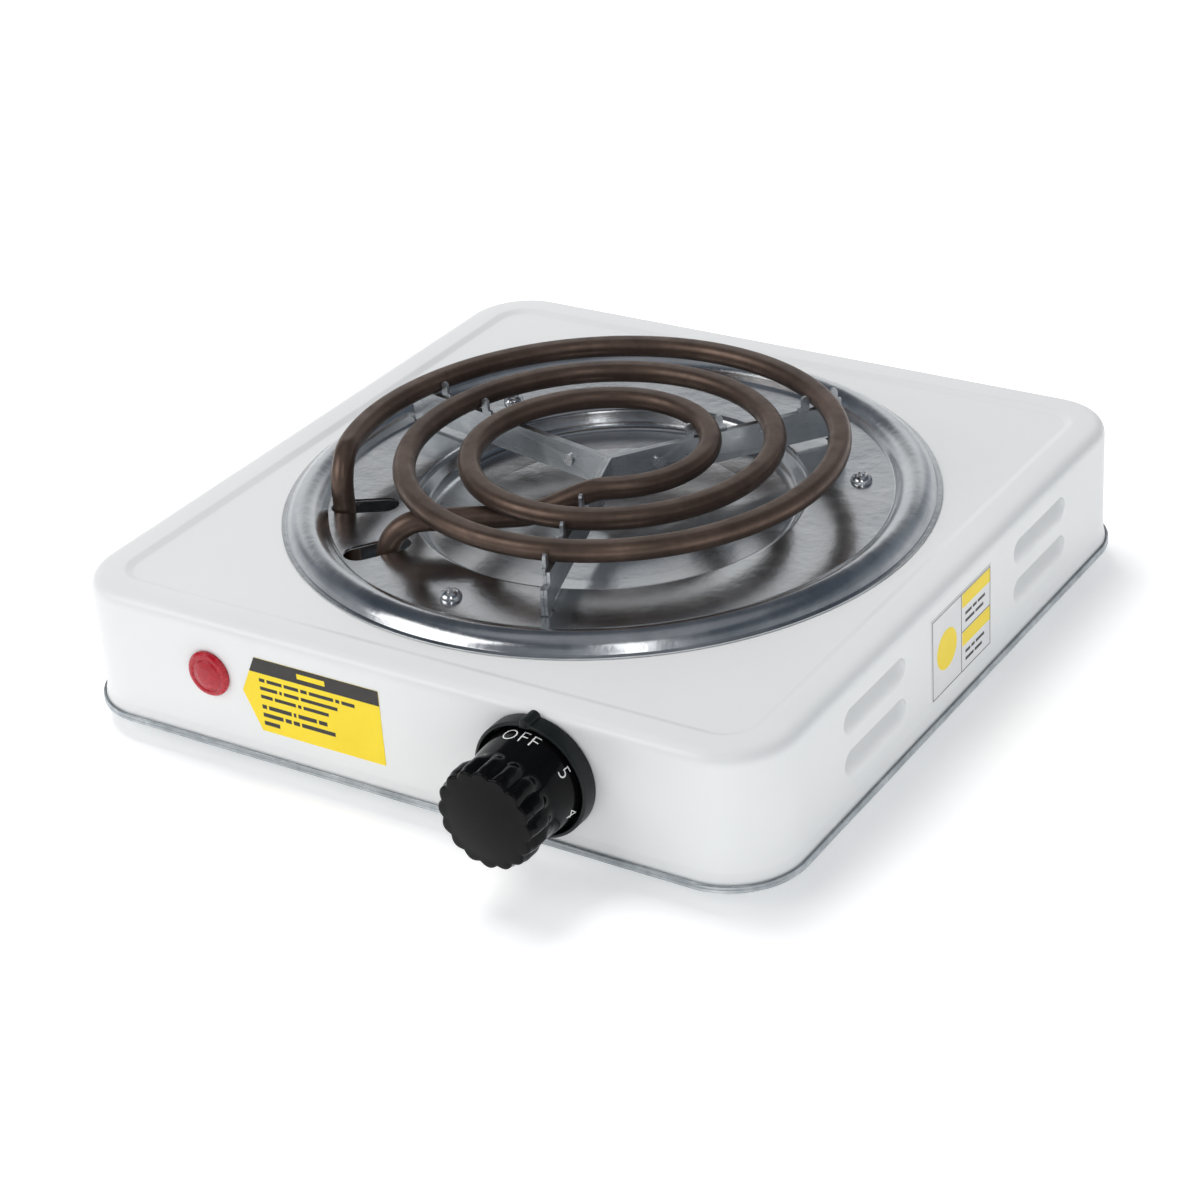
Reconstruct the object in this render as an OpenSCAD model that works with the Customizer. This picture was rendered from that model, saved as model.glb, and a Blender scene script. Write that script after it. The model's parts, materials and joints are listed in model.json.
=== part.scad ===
// Single-coil tabletop hot plate: stamped sheet housing, crimped base plate,
// polished drip pan, three-turn tubular element on a folded strip spider,
// and a front bimetal thermostat with knob and pilot lamp.
// Units are millimetres. The front faces -Y and the feet stand on z = 0.

/* [Body] */
// Width over the crimped rim
body_w = 240; // [236:1:260]
// Depth over the crimped rim
body_d = 242; // [238:1:262]
// Height of the housing above the underside of the rim
body_h = 42.4; // [40:0.2:48]
// Vertical corner radius of the housing
corner_r = 21; // [18:0.5:26]
// Radius of the top edge
edge_r = 4; // [3:0.5:5]
// Housing sheet thickness
shell_t = 0.8; // [0.6:0.1:1]
// Height of the rubber feet
foot_h = 6; // [5:0.5:9]

/* [Drip pan] */
// Outer radius of the pan flange
pan_r = 101; // [99:0.5:104]
// Height of the rolled bead above the panel
bead_h = 5; // [4.5:0.1:5.5]
// Depth of the inner dish below the panel
dish_drop = 6; // [4:0.5:8]
// Pan sheet thickness
pan_t = 0.6; // [0.5:0.1:0.8]

/* [Element] */
// Radius of the sheathed tube
tube_r = 3.45; // [3.2:0.05:3.6]
// Height of the flattened cooking surface above the tube axis
flat_h = 2.9; // [2.6:0.1:3.1]
// Radius of the first quarter turn
coil_r = 77.8; // [77:0.2:78.2]
// Radial distance between neighbouring turns
coil_pitch = 19.6; // [19:0.1:20]
// Height of the tube axis above the panel
coil_z = 16.4; // [16:0.2:18]

/* [Control] */
// Distance of the knob axis to the right of the centre
knob_x = 50; // [46:1:52]
// Height of the knob axis above the underside of the rim
knob_z = 23.3; // [22:0.1:25]
// Distance the knob stands out from the front wall
knob_reach = 29; // [27:0.5:32]
// Number of grip flutes
flutes = 16; // [12:1:18]
// Turn from OFF to the highest setting, in degrees
knob_turn = 300; // [240:5:310]

/* [Hidden] */
$fn = 64;

gland_reach = 7;
body_y = (knob_reach - gland_reach) / 2;
wall_in = 1.9;
wall_w = body_w - 2 * wall_in;
wall_d = body_d - 2 * wall_in;
base_z = foot_h;
base_t = 0.8;
flange_z = base_z + base_t + 0.05;
top_z = base_z + body_h;
panel_z = top_z - 1;
rim_r = corner_r + wall_in;
front_y = -wall_d / 2;
rear_y = wall_d / 2;
axis_z = base_z + knob_z;

coil_x0 = -1;
coil_y0 = -4.8;
coil_a0 = 201;
coil_step = coil_pitch / 4;
coil_last = 10;
coil_zc = panel_z + coil_z;
leg_a = -59 - 720;
leg_run = 69;
leg_bend = 12;
leg_drop = 2 * tube_r + 0.75;
leg_end_z = base_z + 17;
outer_bend = 11;

arm_angles = [-72, 54, 168];
arm_drops = [3.6, 0.6, 1.6];
arm_lens = [80, 80, 88.5];
strip_t = 1;
strip_h = 10;
strip_z = coil_zc - tube_r - 0.3 - strip_h;
screw_angles = [-95.4, 30.8, 146.3];
screw_ring = 76.5;
slot_ring = 75.5;
foot_x = body_w / 2 - 30;
foot_y = body_d / 2 - 30;

lens_x = -64.4;
lens_z = base_z + 24.8;
gland_x = 66;
gland_z = base_z + 18;
block_pitch = 9;
block_p = [60, 88, base_z + base_t + 0.05];
block_h = 13;
earth_p = [86, 78, base_z + base_t + 0.05];
stack_dx = -24;
leaf_dx = -17.8;
tail_dx = -36;
tail_y = front_y + 10.7;
barrel_z = block_p[2] + 5.4;
tag_z = leg_end_z - 5.75;

function unit(a) = [cos(a), sin(a)];
function arc_r(i) = coil_r - coil_step * i;
function arc_a(i) = coil_a0 - 90 * i;
function step_c(i) = i == 0 ? [0, 0] : step_c(i - 1) + coil_step * unit(-90 * i);
function spin(v, a) = [v[0] * cos(a) - v[1] * sin(a), v[0] * sin(a) + v[1] * cos(a)];
function arc_c(i) = [coil_x0, coil_y0] + spin(step_c(i), coil_a0);
function ray_r(i, a) =
    let (s = arc_c(i) * unit(a))
    s + sqrt(arc_r(i) * arc_r(i) - arc_c(i) * arc_c(i) + s * s);
function turn_r(a, n) = ray_r(min(coil_last, floor((coil_a0 - a) / 90) + 4 * n), a);

leg_p = arc_c(coil_last) + arc_r(coil_last) * unit(leg_a);
leg_h = leg_a - 90;
leg_q = leg_p + leg_run * unit(leg_h);
outer_p = arc_c(0) + arc_r(0) * unit(coil_a0);
outer_q = outer_p + outer_bend * unit(coil_a0 + 90);

paint = [0.92, 0.92, 0.91];
zinc = [0.66, 0.68, 0.7];
steel = [0.78, 0.79, 0.8];
sheath = [0.33, 0.26, 0.22];
black = [0.05, 0.05, 0.05];
brass = [0.78, 0.6, 0.3];
ceramic = [0.9, 0.87, 0.8];

// Sweeps a profile round a rounded rectangle; x = 0 is the corner centre.
module frame_sweep(w, d, r) {
    for (i = [0 : 3]) {
        a = i % 2 == 0 ? w : d;
        b = i % 2 == 0 ? d : w;
        rotate([0, 0, 90 * i]) {
            translate([a / 2 - r, b / 2 - r, 0])
                rotate([90, 0, 0])
                    linear_extrude(b - 2 * r)
                        children();
            translate([a / 2 - r, b / 2 - r, 0])
                rotate_extrude(angle = 90)
                    children();
        }
    }
}

module obround(len, wid) {
    square([len - wid, wid], center = true);
    for (s = [-1, 1])
        translate([s * (len - wid) / 2, 0])
            circle(d = wid);
}

// Points +Z of the children along +Y.
module along_y() {
    rotate([-90, 0, 0])
        children();
}

module rod(p, q, r) {
    v = q - p;
    translate(p)
        rotate([0, acos(v[2] / norm(v)), atan2(v[1], v[0])])
            cylinder(h = norm(v), r = r);
}

// Wire that runs along the axes with round corners; its route is kept to tenths.
module wire(route, r, bend) {
    pts = [for (p = route) [for (c = p) round(10 * c) / 10]];
    last = len(pts) - 2;
    dirs = [for (i = [0 : last]) [for (c = pts[i + 1] - pts[i]) sign(c)]];
    for (i = [0 : last]) {
        u = dirs[i];
        run = norm(pts[i + 1] - pts[i]) - (i > 0 ? bend : 0) - (i < last ? bend : 0);
        translate(pts[i] + (i > 0 ? bend : 0) * u)
            rotate([u[1] != 0 ? -90 * u[1] : 90 - 90 * (u[2] < 0 ? -1 : 1), 90 * u[0], 0])
                cylinder(h = run, r = r);
    }
    for (i = [1 : last]) {
        u = dirs[i - 1];
        v = dirs[i];
        w = cross(u, v);
        c = pts[i] + bend * (v - u);
        multmatrix([for (k = [0 : 2]) [-v[k], u[k], w[k], c[k]]])
            rotate_extrude(angle = 90)
                translate([bend, 0])
                    circle(r);
    }
}

module in_body() {
    translate([0, body_y, 0])
        children();
}

module pan_head(r, h) {
    difference() {
        intersection() {
            cylinder(r = r, h = h);
            translate([0, 0, h - r * 1.5])
                sphere(r * 1.5);
        }
        for (a = [0, 90])
            rotate([0, 0, a])
                translate([0, 0, h])
                    cube([r * 1.2, r * 0.22, h], center = true);
    }
}

// ---------------------------------------------------------------- housing

module shell_profile() {
    difference() {
        union() {
            translate([0, flange_z])
                square([corner_r, top_z - edge_r - flange_z]);
            translate([0, flange_z])
                square([corner_r - edge_r, top_z - flange_z]);
            translate([corner_r - edge_r, top_z - edge_r])
                circle(edge_r);
        }
        translate([-1, flange_z - 1])
            square([corner_r - shell_t + 1, top_z - edge_r - flange_z + 1]);
        translate([-1, flange_z - 1])
            square([corner_r - edge_r + 1, top_z - shell_t - flange_z + 1]);
        translate([corner_r - edge_r, top_z - edge_r])
            circle(edge_r - shell_t);
        translate([-1, panel_z])
            square([11, 5]);
    }
    polygon([[0, panel_z], [7.4, panel_z], [8.4, top_z], [10.5, top_z], [10.5, top_z - shell_t],
        [8.9, top_z - shell_t], [7.9, panel_z - shell_t], [0, panel_z - shell_t]]);
    translate([corner_r - shell_t, flange_z])
        square([shell_t + 1, 0.8]);
    polygon([[corner_r - 0.1, flange_z + 1.85], [corner_r + 0.9, flange_z + 1.85],
        [corner_r + 0.9, flange_z + 2.2], [corner_r, flange_z + 5], [corner_r - 0.1, flange_z + 5]]);
}

module louvre_places() {
    for (side = [0, 180], y = [-54, 54], z = [16.2, 29.4])
        rotate([0, 0, side])
            translate([wall_w / 2, y, base_z + z])
                rotate([90, 0, 90])
                    children();
}

module pan_slots(grow) {
    for (q = [leg_q, outer_q])
        rotate([0, 0, atan2(q[1], q[0])])
            translate([slot_ring, 0, 0])
                linear_extrude(30, center = true)
                    obround(21 + 2 * grow, 9.4 + 2 * grow);
    for (i = [0 : 2])
        rotate([0, 0, arm_angles[i]])
            translate([arm_lens[i] - 4, 0, 0])
                cube([5 + 2 * grow, 3.2 + 2 * grow, 30], center = true);
}

module screw_places() {
    for (a = screw_angles)
        rotate([0, 0, a])
            translate([screw_ring, 0, 0])
                children();
}

module housing() {
    color(paint)
        in_body()
            difference() {
                union() {
                    frame_sweep(wall_w, wall_d, corner_r)
                        shell_profile();
                    translate([0, 0, panel_z - shell_t / 2])
                        cube([wall_w - 2 * corner_r, wall_d - 2 * corner_r, shell_t], center = true);
                }
                translate([0, 0, panel_z - 5])
                    cylinder(r = 64, h = 10);
                translate([0, 0, panel_z])
                    pan_slots(1);
                translate([0, 0, panel_z])
                    screw_places()
                        cylinder(r = 1.6, h = 6, center = true);
                louvre_places()
                    linear_extrude(8, center = true)
                        obround(37, 8.4);
                translate([knob_x, front_y, axis_z])
                    along_y()
                        cylinder(r = 5.1, h = 6, center = true);
                translate([lens_x, front_y, lens_z])
                    along_y()
                        cylinder(r = 5.1, h = 6, center = true);
                translate([gland_x, rear_y, gland_z])
                    along_y()
                        cylinder(r = 6.6, h = 6, center = true);
            }
}

// Trays pressed in behind each slot in the side walls, open along the top.
module louvre_trays() {
    color(paint)
        in_body()
            louvre_places()
                translate([0, 0, -shell_t - 2.8])
                    difference() {
                        linear_extrude(2.8)
                            obround(39.4, 10.8);
                        translate([0, 0, 0.7])
                            linear_extrude(3)
                                obround(37, 8.4);
                        translate([0, 5.6, 1.6])
                            cube([29, 4, 1.8], center = true);
                    }
}

// ------------------------------------------------------------------- base

module rim_profile() {
    translate([0, base_z])
        square([rim_r, base_t]);
    translate([rim_r - 0.8, base_z])
        square([0.8, 2.4]);
    translate([rim_r - 0.85, base_z + 1.75])
        difference() {
            circle(0.85);
            translate([-2, -2])
                square([4, 2]);
        }
}

module base_plate() {
    color(zinc)
        in_body()
            difference() {
                union() {
                    frame_sweep(body_w, body_d, rim_r)
                        rim_profile();
                    translate([0, 0, base_z + base_t / 2])
                        cube([body_w - 2 * rim_r, body_d - 2 * rim_r, base_t], center = true);
                }
                for (x = [-foot_x, foot_x], y = [-foot_y, foot_y])
                    translate([x, y, base_z])
                        cylinder(r = 2.2, h = 4, center = true);
                for (x = [-45, 45], y = [-60 : 12 : 60])
                    translate([x, y, base_z])
                        linear_extrude(4, center = true)
                            obround(52, 5);
                for (p = [earth_p, block_p + [block_pitch / 2, 0, 0]])
                    translate([p[0], p[1], base_z])
                        cylinder(r = 1.6, h = 4, center = true);
            }
}

module foot_places() {
    for (x = [-foot_x, foot_x], y = [-foot_y, foot_y])
        translate([x, y, 0])
            children();
}

module corner_posts() {
    color(zinc)
        in_body()
            foot_places()
                difference() {
                    union() {
                        translate([0, 0, base_z + base_t])
                            cylinder(r = 4, h = panel_z - shell_t - base_z - base_t);
                        translate([0, 0, panel_z - shell_t - 1.2])
                            cylinder(r = 8, h = 1.2);
                    }
                    translate([0, 0, base_z])
                        cylinder(r = 1.6, h = 20);
                }
}

module rubber_feet() {
    color(black)
        in_body()
            foot_places()
                difference() {
                    cylinder(r = 9, h = foot_h);
                    translate([0, 0, 2])
                        cylinder(r = 2.2, h = foot_h);
                    translate([0, 0, -1])
                        cylinder(r = 5, h = 3.5);
                }
}

module foot_screws() {
    color(zinc)
        in_body()
            foot_places() {
                translate([0, 0, 0.6])
                    cylinder(r = 4, h = 1.9);
                translate([0, 0, 2.4])
                    cylinder(r = 1.5, h = base_z + 10);
            }
}

// --------------------------------------------------------------- drip pan

module pan_profile() {
    bead_r = 6.6;
    bead_c = pan_r - 7.8;
    flat_r = bead_c - 6.1;
    difference() {
        translate([bead_c, bead_h - bead_r])
            circle(bead_r);
        translate([bead_c, bead_h - bead_r])
            circle(bead_r - pan_t);
        translate([bead_c - 20, -40])
            square([40, 40]);
    }
    translate([bead_c + 6, 0])
        square([pan_r - bead_c - 6, pan_t]);
    polygon([[flat_r, 0], [flat_r, pan_t], [60, pan_t], [57.4, pan_t - dish_drop],
        [30, pan_t - dish_drop - 0.8], [0, pan_t - dish_drop - 0.8], [0, -dish_drop - 0.8],
        [30, -dish_drop - 0.8], [57.8, -dish_drop], [60.6, 0]]);
}

module drip_pan() {
    color(steel)
        in_body()
            translate([0, 0, panel_z])
                difference() {
                    rotate_extrude()
                        pan_profile();
                    pan_slots(0);
                    screw_places()
                        cylinder(r = 1.8, h = 6, center = true);
                }
}

module pan_screws() {
    color(steel)
        in_body()
            translate([0, 0, panel_z + pan_t])
                screw_places() {
                    pan_head(3.4, 2.4);
                    translate([0, 0, -7])
                        cylinder(r = 1.5, h = 7.2);
                }
}

// ---------------------------------------------------------------- element

module tube_section() {
    intersection() {
        circle(tube_r);
        translate([-5, -5])
            square([10, 5 + flat_h]);
    }
}

// Quarter turns whose centres step round a square, so neighbours are tangent.
module coil_turns() {
    translate([coil_x0, coil_y0, coil_zc])
        rotate([0, 0, coil_a0])
            for (i = [0 : coil_last])
                translate([step_c(i)[0], step_c(i)[1], 0])
                    rotate([0, 0, -90 * i])
                        mirror([0, 1, 0])
                            rotate_extrude(angle = i == coil_last ? arc_a(i) - leg_a : 90)
                                translate([arc_r(i), 0])
                                    tube_section();
}

// Keeps what lies below the flattened cooking surface.
module under_flat() {
    intersection() {
        union()
            children();
        translate([-20, -20, -60])
            cube([leg_run + 40, 40, 60 + flat_h]);
    }
}

// A quarter bend from +X down to -Z in the XZ plane.
module quarter_bend(rad) {
    translate([0, 0, -rad])
        rotate([90, 0, 0])
            rotate_extrude(angle = 90)
                translate([rad, 0])
                    circle(tube_r);
}

module inner_leg() {
    pts = [[0, 0, 0], [7, 0, 0], [27, 0, -leg_drop], [leg_run - leg_bend, 0, -leg_drop]];
    translate([leg_p[0], leg_p[1], coil_zc])
        rotate([0, 0, leg_h])
            under_flat() {
                for (i = [0 : 2])
                    rod(pts[i], pts[i + 1], tube_r);
                for (p = pts)
                    translate(p)
                        sphere(tube_r * 1.05);
                translate(pts[3])
                    quarter_bend(leg_bend);
                translate([leg_run, 0, leg_end_z - coil_zc])
                    cylinder(r = tube_r, h = coil_zc - leg_drop - leg_bend - leg_end_z);
            }
}

module outer_leg() {
    translate([outer_p[0], outer_p[1], coil_zc])
        rotate([0, 0, coil_a0 + 90])
            under_flat() {
                sphere(tube_r * 1.05);
                quarter_bend(outer_bend);
                translate([outer_bend, 0, leg_end_z - coil_zc])
                    cylinder(r = tube_r, h = coil_zc - outer_bend - leg_end_z);
            }
}

module coil_element() {
    color(sheath)
        in_body() {
            coil_turns();
            inner_leg();
            outer_leg();
        }
}

module leg_places() {
    for (q = [leg_q, outer_q])
        translate([q[0], q[1], leg_end_z])
            children();
}

module element_pins() {
    color(steel)
        in_body()
            leg_places()
                translate([0, 0, -9])
                    cylinder(r = 1.2, h = 9);
}

module element_beads() {
    color(ceramic)
        in_body()
            leg_places()
                translate([0, 0, -4])
                    difference() {
                        cylinder(r = tube_r + 0.6, h = 4);
                        translate([0, 0, -1])
                            cylinder(r = 1.25, h = 6);
                    }
}

module pin_tags() {
    color(steel)
        in_body()
            leg_places()
                translate([0, 0, -6.6])
                    difference() {
                        union() {
                            cylinder(r = 3.2, h = 0.8);
                            translate([4, 0, 0.4])
                                cube([8, 4, 0.8], center = true);
                        }
                        translate([0, 0, -1])
                            cylinder(r = 1.25, h = 3);
                    }
}

// ----------------------------------------------------------------- spider

// Outline of one arm and its foot in the XZ plane, from the middle outwards.
module arm_outline(i) {
    top = strip_z + strip_h;
    low = top - arm_drops[i];
    last = turn_r(arm_angles[i], 0) + tube_r + 3.4;
    end = arm_lens[i];
    polygon([[0.03, strip_z], [last - 4, strip_z], [end - 6, strip_z - 1.4], [end - 5.6, panel_z - 2.5],
        [end - 2.2, panel_z - 2.5], [end - 1.4, low - 5], [end - 2, low],
        [last + 0.4, low], [last, top], [0.03, top]]);
}

// side picks one of the two layers; a tab is [turn, which side of it, gap].
module spider_layer(i, side, tabs) {
    a = arm_angles[i];
    rotate([0, 0, a])
        translate([0, side > 0 ? 0.05 + strip_t : -0.05, 0])
            rotate([90, 0, 0])
                linear_extrude(strip_t)
                    difference() {
                        union() {
                            arm_outline(i);
                            for (t = tabs) {
                                edge = turn_r(a, t[0]) + t[1] * (tube_r + t[2]);
                                translate([edge + t[1] * 1.3, strip_z + strip_h]) {
                                    translate([-1.3, -1])
                                        square([2.6, 4.8]);
                                    translate([0, 3.8])
                                        circle(1.3);
                                    translate([t[1] * 1.3 - 1.2, -1])
                                        square([2.4, 2.4]);
                                }
                            }
                        }
                        translate([16, strip_z + strip_h / 2])
                            circle(1.05);
                        if (i == 0)
                            translate([29.4, strip_z + strip_h])
                                square([7.6, 3.4], center = true);
                    }
}

module v_strip(i, j, tabs_i, tabs_j) {
    color(zinc)
        in_body() {
            spider_layer(i, 1, tabs_i);
            spider_layer(j, -1, tabs_j);
        }
}

module spider_strip_front_left() {
    v_strip(2, 0, [[1, -1, 0.4]], [[0, 1, 0.4], [1, 1, 0.4]]);
}

module spider_strip_front_right() {
    v_strip(0, 1, [[0, -1, 0.4], [2, 1, 2.4]], [[0, -1, 0.4], [2, -1, 0.4]]);
}

module spider_strip_rear() {
    v_strip(1, 2, [[0, 1, 0.4], [2, 1, 0.4]], [[0, -1, 0.4]]);
}

module spider_rivets() {
    color(steel)
        in_body()
            for (a = arm_angles)
                rotate([0, 0, a])
                    translate([16, 0, strip_z + strip_h / 2])
                        along_y() {
                            cylinder(r = 1, h = 4, center = true);
                            for (s = [-1, 1])
                                translate([0, 0, s * (strip_t + 0.5)])
                                    cylinder(r = 1.9, h = 0.8, center = true);
                        }
}

// ------------------------------------------------------------------- knob

// Local +Z points out of the front wall, with z = 0 on its outer face.
module at_axis(x = knob_x, z = axis_z) {
    in_body()
        translate([x, front_y, z])
            rotate([90, 0, 0])
                children();
}

module knob() {
    r_face = 12.3;
    color(black)
        at_axis()
            difference() {
                union() {
                    rotate_extrude()
                        difference() {
                            polygon([[0, 1.8], [16, 1.8], [16, 3.4], [14, 15], [r_face, 18.5],
                                [r_face, knob_reach - 1.6], [r_face - 1.2, knob_reach - 0.7],
                                [7, knob_reach - 0.1], [0, knob_reach]]);
                            polygon([[-1, 1], [14.5, 1], [14.5, 3.4], [12.5, 14.4], [10.6, 18],
                                [10.6, knob_reach - 4], [-1, knob_reach - 4]]);
                        }
                    for (i = [0 : flutes - 1])
                        rotate([0, 0, (i + 0.5) * 360 / flutes])
                            translate([r_face - 0.4, 0, 15.6])
                                cylinder(r = 1.7, h = knob_reach - 17.4);
                    translate([0, 0, 6])
                        cylinder(r = 5.6, h = knob_reach - 9);
                }
                translate([0, 0, 5])
                    difference() {
                        cylinder(r = 3.05, h = 17);
                        translate([-4, 1.75, -1])
                            cube([8, 4, 20]);
                    }
                translate([-2.4, 1.7, 8])
                    cube([4.8, 0.9, 10]);
            }
}

// Seven-segment style strokes for one character, drawn in the XY plane.
module stroke(p, q) {
    v = q - p;
    translate([(p[0] + q[0]) / 2, (p[1] + q[1]) / 2, 0])
        rotate([0, 0, atan2(v[1], v[0])])
            cube([norm(v) + 0.45, 0.45, 0.3], center = true);
}

module glyph(segs) {
    w = 0.9;
    h = 1.5;
    pts = [[-w, h], [w, h], [w, 0], [w, -h], [-w, -h], [-w, 0]];
    ends = [[0, 1], [1, 2], [2, 3], [3, 4], [4, 5], [5, 0], [5, 2]];
    for (s = segs)
        stroke(pts[ends[s][0]], pts[ends[s][1]]);
}

// Places a character on the conical skirt, reading upright when it is on top.
module on_skirt(a) {
    rotate([0, 0, a])
        translate([0, 15.3, 8.6])
            rotate([-80.2, 0, 0])
                children();
}

module knob_numerals() {
    codes = [[0, 2, 3, 5, 6], [1, 2, 5, 6], [0, 1, 2, 3, 6], [0, 1, 3, 4, 6], [1, 2]];
    color([0.95, 0.95, 0.95])
        at_axis() {
            for (i = [0 : 4])
                on_skirt(-knob_turn / 6 * (i + 1) - 10)
                    glyph(codes[i]);
            on_skirt(12)
                glyph([0, 1, 2, 3, 4, 5]);
            for (a = [0, -12])
                on_skirt(a)
                    glyph([0, 4, 5, 6]);
        }
}

module knob_spring_clip() {
    color(steel)
        at_axis()
            translate([-2.2, 1.85, 8.2])
                cube([4.4, 0.6, 9]);
}

module knob_bezel() {
    color(black)
        at_axis() {
            difference() {
                cylinder(r = 17.9, h = 6);
                translate([0, 0, 1.25])
                    cylinder(r = 16.7, h = 6);
                translate([0, 0, -1])
                    cylinder(r = 5.1, h = 4);
            }
            translate([-1.5, 17.2, 0])
                cube([3, 2.2, 6]);
        }
}

// ------------------------------------------------------------- thermostat

module spindle() {
    color(brass)
        at_axis() {
            translate([0, 0, -4.9])
                cylinder(r = 3, h = 9.8);
            difference() {
                translate([0, 0, 4])
                    cylinder(r = 3, h = 17.5);
                translate([-4, 1.65, 4.9])
                    cube([8, 4, 20]);
            }
        }
}

module spindle_bushing() {
    color(brass)
        at_axis()
            difference() {
                union() {
                    translate([0, 0, -7])
                        cylinder(r = 4.4, h = 5);
                    translate([0, 0, -3.3])
                        cylinder(r = 6.6, h = 1.2);
                    translate([0, 0, -2.2])
                        cylinder(r = 5, h = 7.2);
                }
                translate([0, 0, -5])
                    cylinder(r = 3.05, h = 12);
                translate([0, 0, -8])
                    cylinder(r = 1.56, h = 4);
            }
}

module bushing_nut() {
    color(brass)
        at_axis()
            translate([0, 0, 1.3])
                difference() {
                    cylinder(r = 7.4, h = 3, $fn = 6);
                    translate([0, 0, -1])
                        cylinder(r = 5.05, h = 6);
                }
}

module thermostat_plate() {
    color(zinc)
        at_axis()
            translate([0, 0, -2.05])
                difference() {
                    translate([stack_dx - 7, -9, 0])
                        cube([7 - stack_dx + 10, 18, 1.2]);
                    translate([0, 0, -1])
                        cylinder(r = 5.1, h = 4);
                    translate([stack_dx, 0, -1])
                        cylinder(r = 1.6, h = 4);
                }
}

module stack_insulators() {
    color(ceramic)
        at_axis()
            translate([stack_dx, 0, 0])
                for (s = [[-10.45, 8.35], [-13.05, 2.1], [-16.45, 2.9], [-19.3, 1.95]])
                    translate([0, 0, s[0]])
                        difference() {
                            cylinder(r = 4.2, h = s[1]);
                            translate([0, 0, -1])
                                cylinder(r = 1.6, h = 12);
                        }
}

module stack_rivet() {
    color(brass)
        at_axis()
            translate([stack_dx, 0, 0]) {
                translate([0, 0, -19.4])
                    cylinder(r = 1.5, h = 18.4);
                translate([0, 0, -20.6])
                    cylinder(r = 3, h = 1.25);
            }
}

module leaf_strip(x0, x1, z, t, holes) {
    translate([0, 0, z - t])
        difference() {
            translate([x0, -3, 0])
                cube([x1 - x0, 6, t]);
            for (h = holes)
                translate([h, 0, -1])
                    cylinder(r = 1.6, h = 4);
        }
}

module leaf_terminal() {
    color(brass)
        at_axis()
            leaf_strip(tail_dx, leaf_dx - 0.1, -10.5, 0.4, [stack_dx]);
}

module moving_leaf() {
    color(brass)
        at_axis()
            leaf_strip(leaf_dx + 0.1, 3, -10.5, 0.4, []);
}

module fixed_leaf() {
    color(brass)
        at_axis()
            leaf_strip(tail_dx, 3, -13.1, 0.4, [stack_dx]);
}

module bimetal_strip() {
    color([0.6, 0.58, 0.5])
        at_axis()
            leaf_strip(stack_dx - 5, 4, -16.5, 0.8, [stack_dx]);
}

module moving_contact() {
    color(steel)
        at_axis()
            translate([-6, 0, -11.7])
                cylinder(r = 1.8, h = 0.78);
}

module fixed_contact() {
    color(steel)
        at_axis()
            translate([-6, 0, -13.08])
                cylinder(r = 1.8, h = 0.78);
}

module bimetal_pin() {
    color(ceramic)
        at_axis()
            translate([0, 0, -16.45])
                cylinder(r = 1.4, h = 2.8);
}

module push_pin() {
    color(ceramic)
        at_axis()
            translate([0, 0, -10.4])
                cylinder(r = 1.5, h = 5.3);
}

// ------------------------------------------------------------- pilot lamp

module pilot_lens() {
    color([0.75, 0.04, 0.12])
        at_axis(lens_x, lens_z)
            difference() {
                union() {
                    translate([0, 0, 0.05])
                        cylinder(r = 7.2, h = 1.2);
                    intersection() {
                        translate([0, 0, 1.2])
                            cylinder(r = 6.6, h = 3);
                        translate([0, 0, -8.8])
                            sphere(11.6);
                    }
                    translate([0, 0, -9])
                        cylinder(r = 5, h = 9.2);
                }
                translate([0, 0, -10])
                    cylinder(r = 4, h = 11.2);
            }
}

module pilot_retainer() {
    color(zinc)
        at_axis(lens_x, lens_z)
            translate([0, 0, -1.7])
                difference() {
                    cylinder(r = 8, h = 0.8);
                    translate([0, 0, -1])
                        cylinder(r = 5.05, h = 3);
                }
}

module neon_lamp() {
    color([0.95, 0.6, 0.4])
        at_axis(lens_x, lens_z) {
            translate([0, 0, -12])
                cylinder(r = 2.8, h = 9);
            translate([0, 0, -3])
                sphere(2.7);
        }
}

module lamp_resistor() {
    color(ceramic)
        at_axis(lens_x, lens_z)
            translate([3.2, 0, -20])
                cylinder(r = 1.4, h = 7.95);
}

// ----------------------------------------------------------------- labels

module front_label() {
    color([1, 0.87, 0])
        at_axis(0, base_z)
            translate([0, 0, 0.02])
                linear_extrude(0.15)
                    polygon([[-47, 34.4], [-3.2, 34.4], [-3.2, 10], [-47, 10], [-52.6, 22.2]]);
}

module side_label() {
    color([0.95, 0.95, 0.93])
        in_body()
            translate([wall_w / 2 + 0.02, 0, base_z + 21.5])
                rotate([90, 0, 90])
                    linear_extrude(0.15)
                        square([39, 27], center = true);
}

// ------------------------------------------------------------- connections

module cord_gland() {
    color(black)
        in_body()
            translate([gland_x, rear_y, gland_z])
                along_y()
                    difference() {
                        union() {
                            translate([0, 0, -3])
                                cylinder(r = 8.6, h = 2.1);
                            translate([0, 0, -1])
                                cylinder(r = 6.5, h = gland_reach + 1);
                            translate([0, 0, 0.05])
                                cylinder(r = 8.6, h = 2);
                        }
                        translate([0, 0, -4])
                            cylinder(r = 3.8, h = gland_reach + 6);
                    }
}

module barrel_places() {
    for (i = [-1 : 1])
        translate(block_p + [i * block_pitch, 0, 5.4])
            children();
}

module terminal_block() {
    color([0.93, 0.92, 0.88])
        in_body()
            difference() {
                translate(block_p - [15, 8, 0])
                    cube([30, 16, block_h]);
                barrel_places() {
                    along_y()
                        cylinder(r = 2.9, h = 20, center = true);
                    for (y = [-4, 4])
                        translate([0, y, 0])
                            cylinder(r = 2, h = 10);
                }
                translate(block_p + [block_pitch / 2, 0, -1])
                    cylinder(r = 1.55, h = 10);
            }
}

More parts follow.
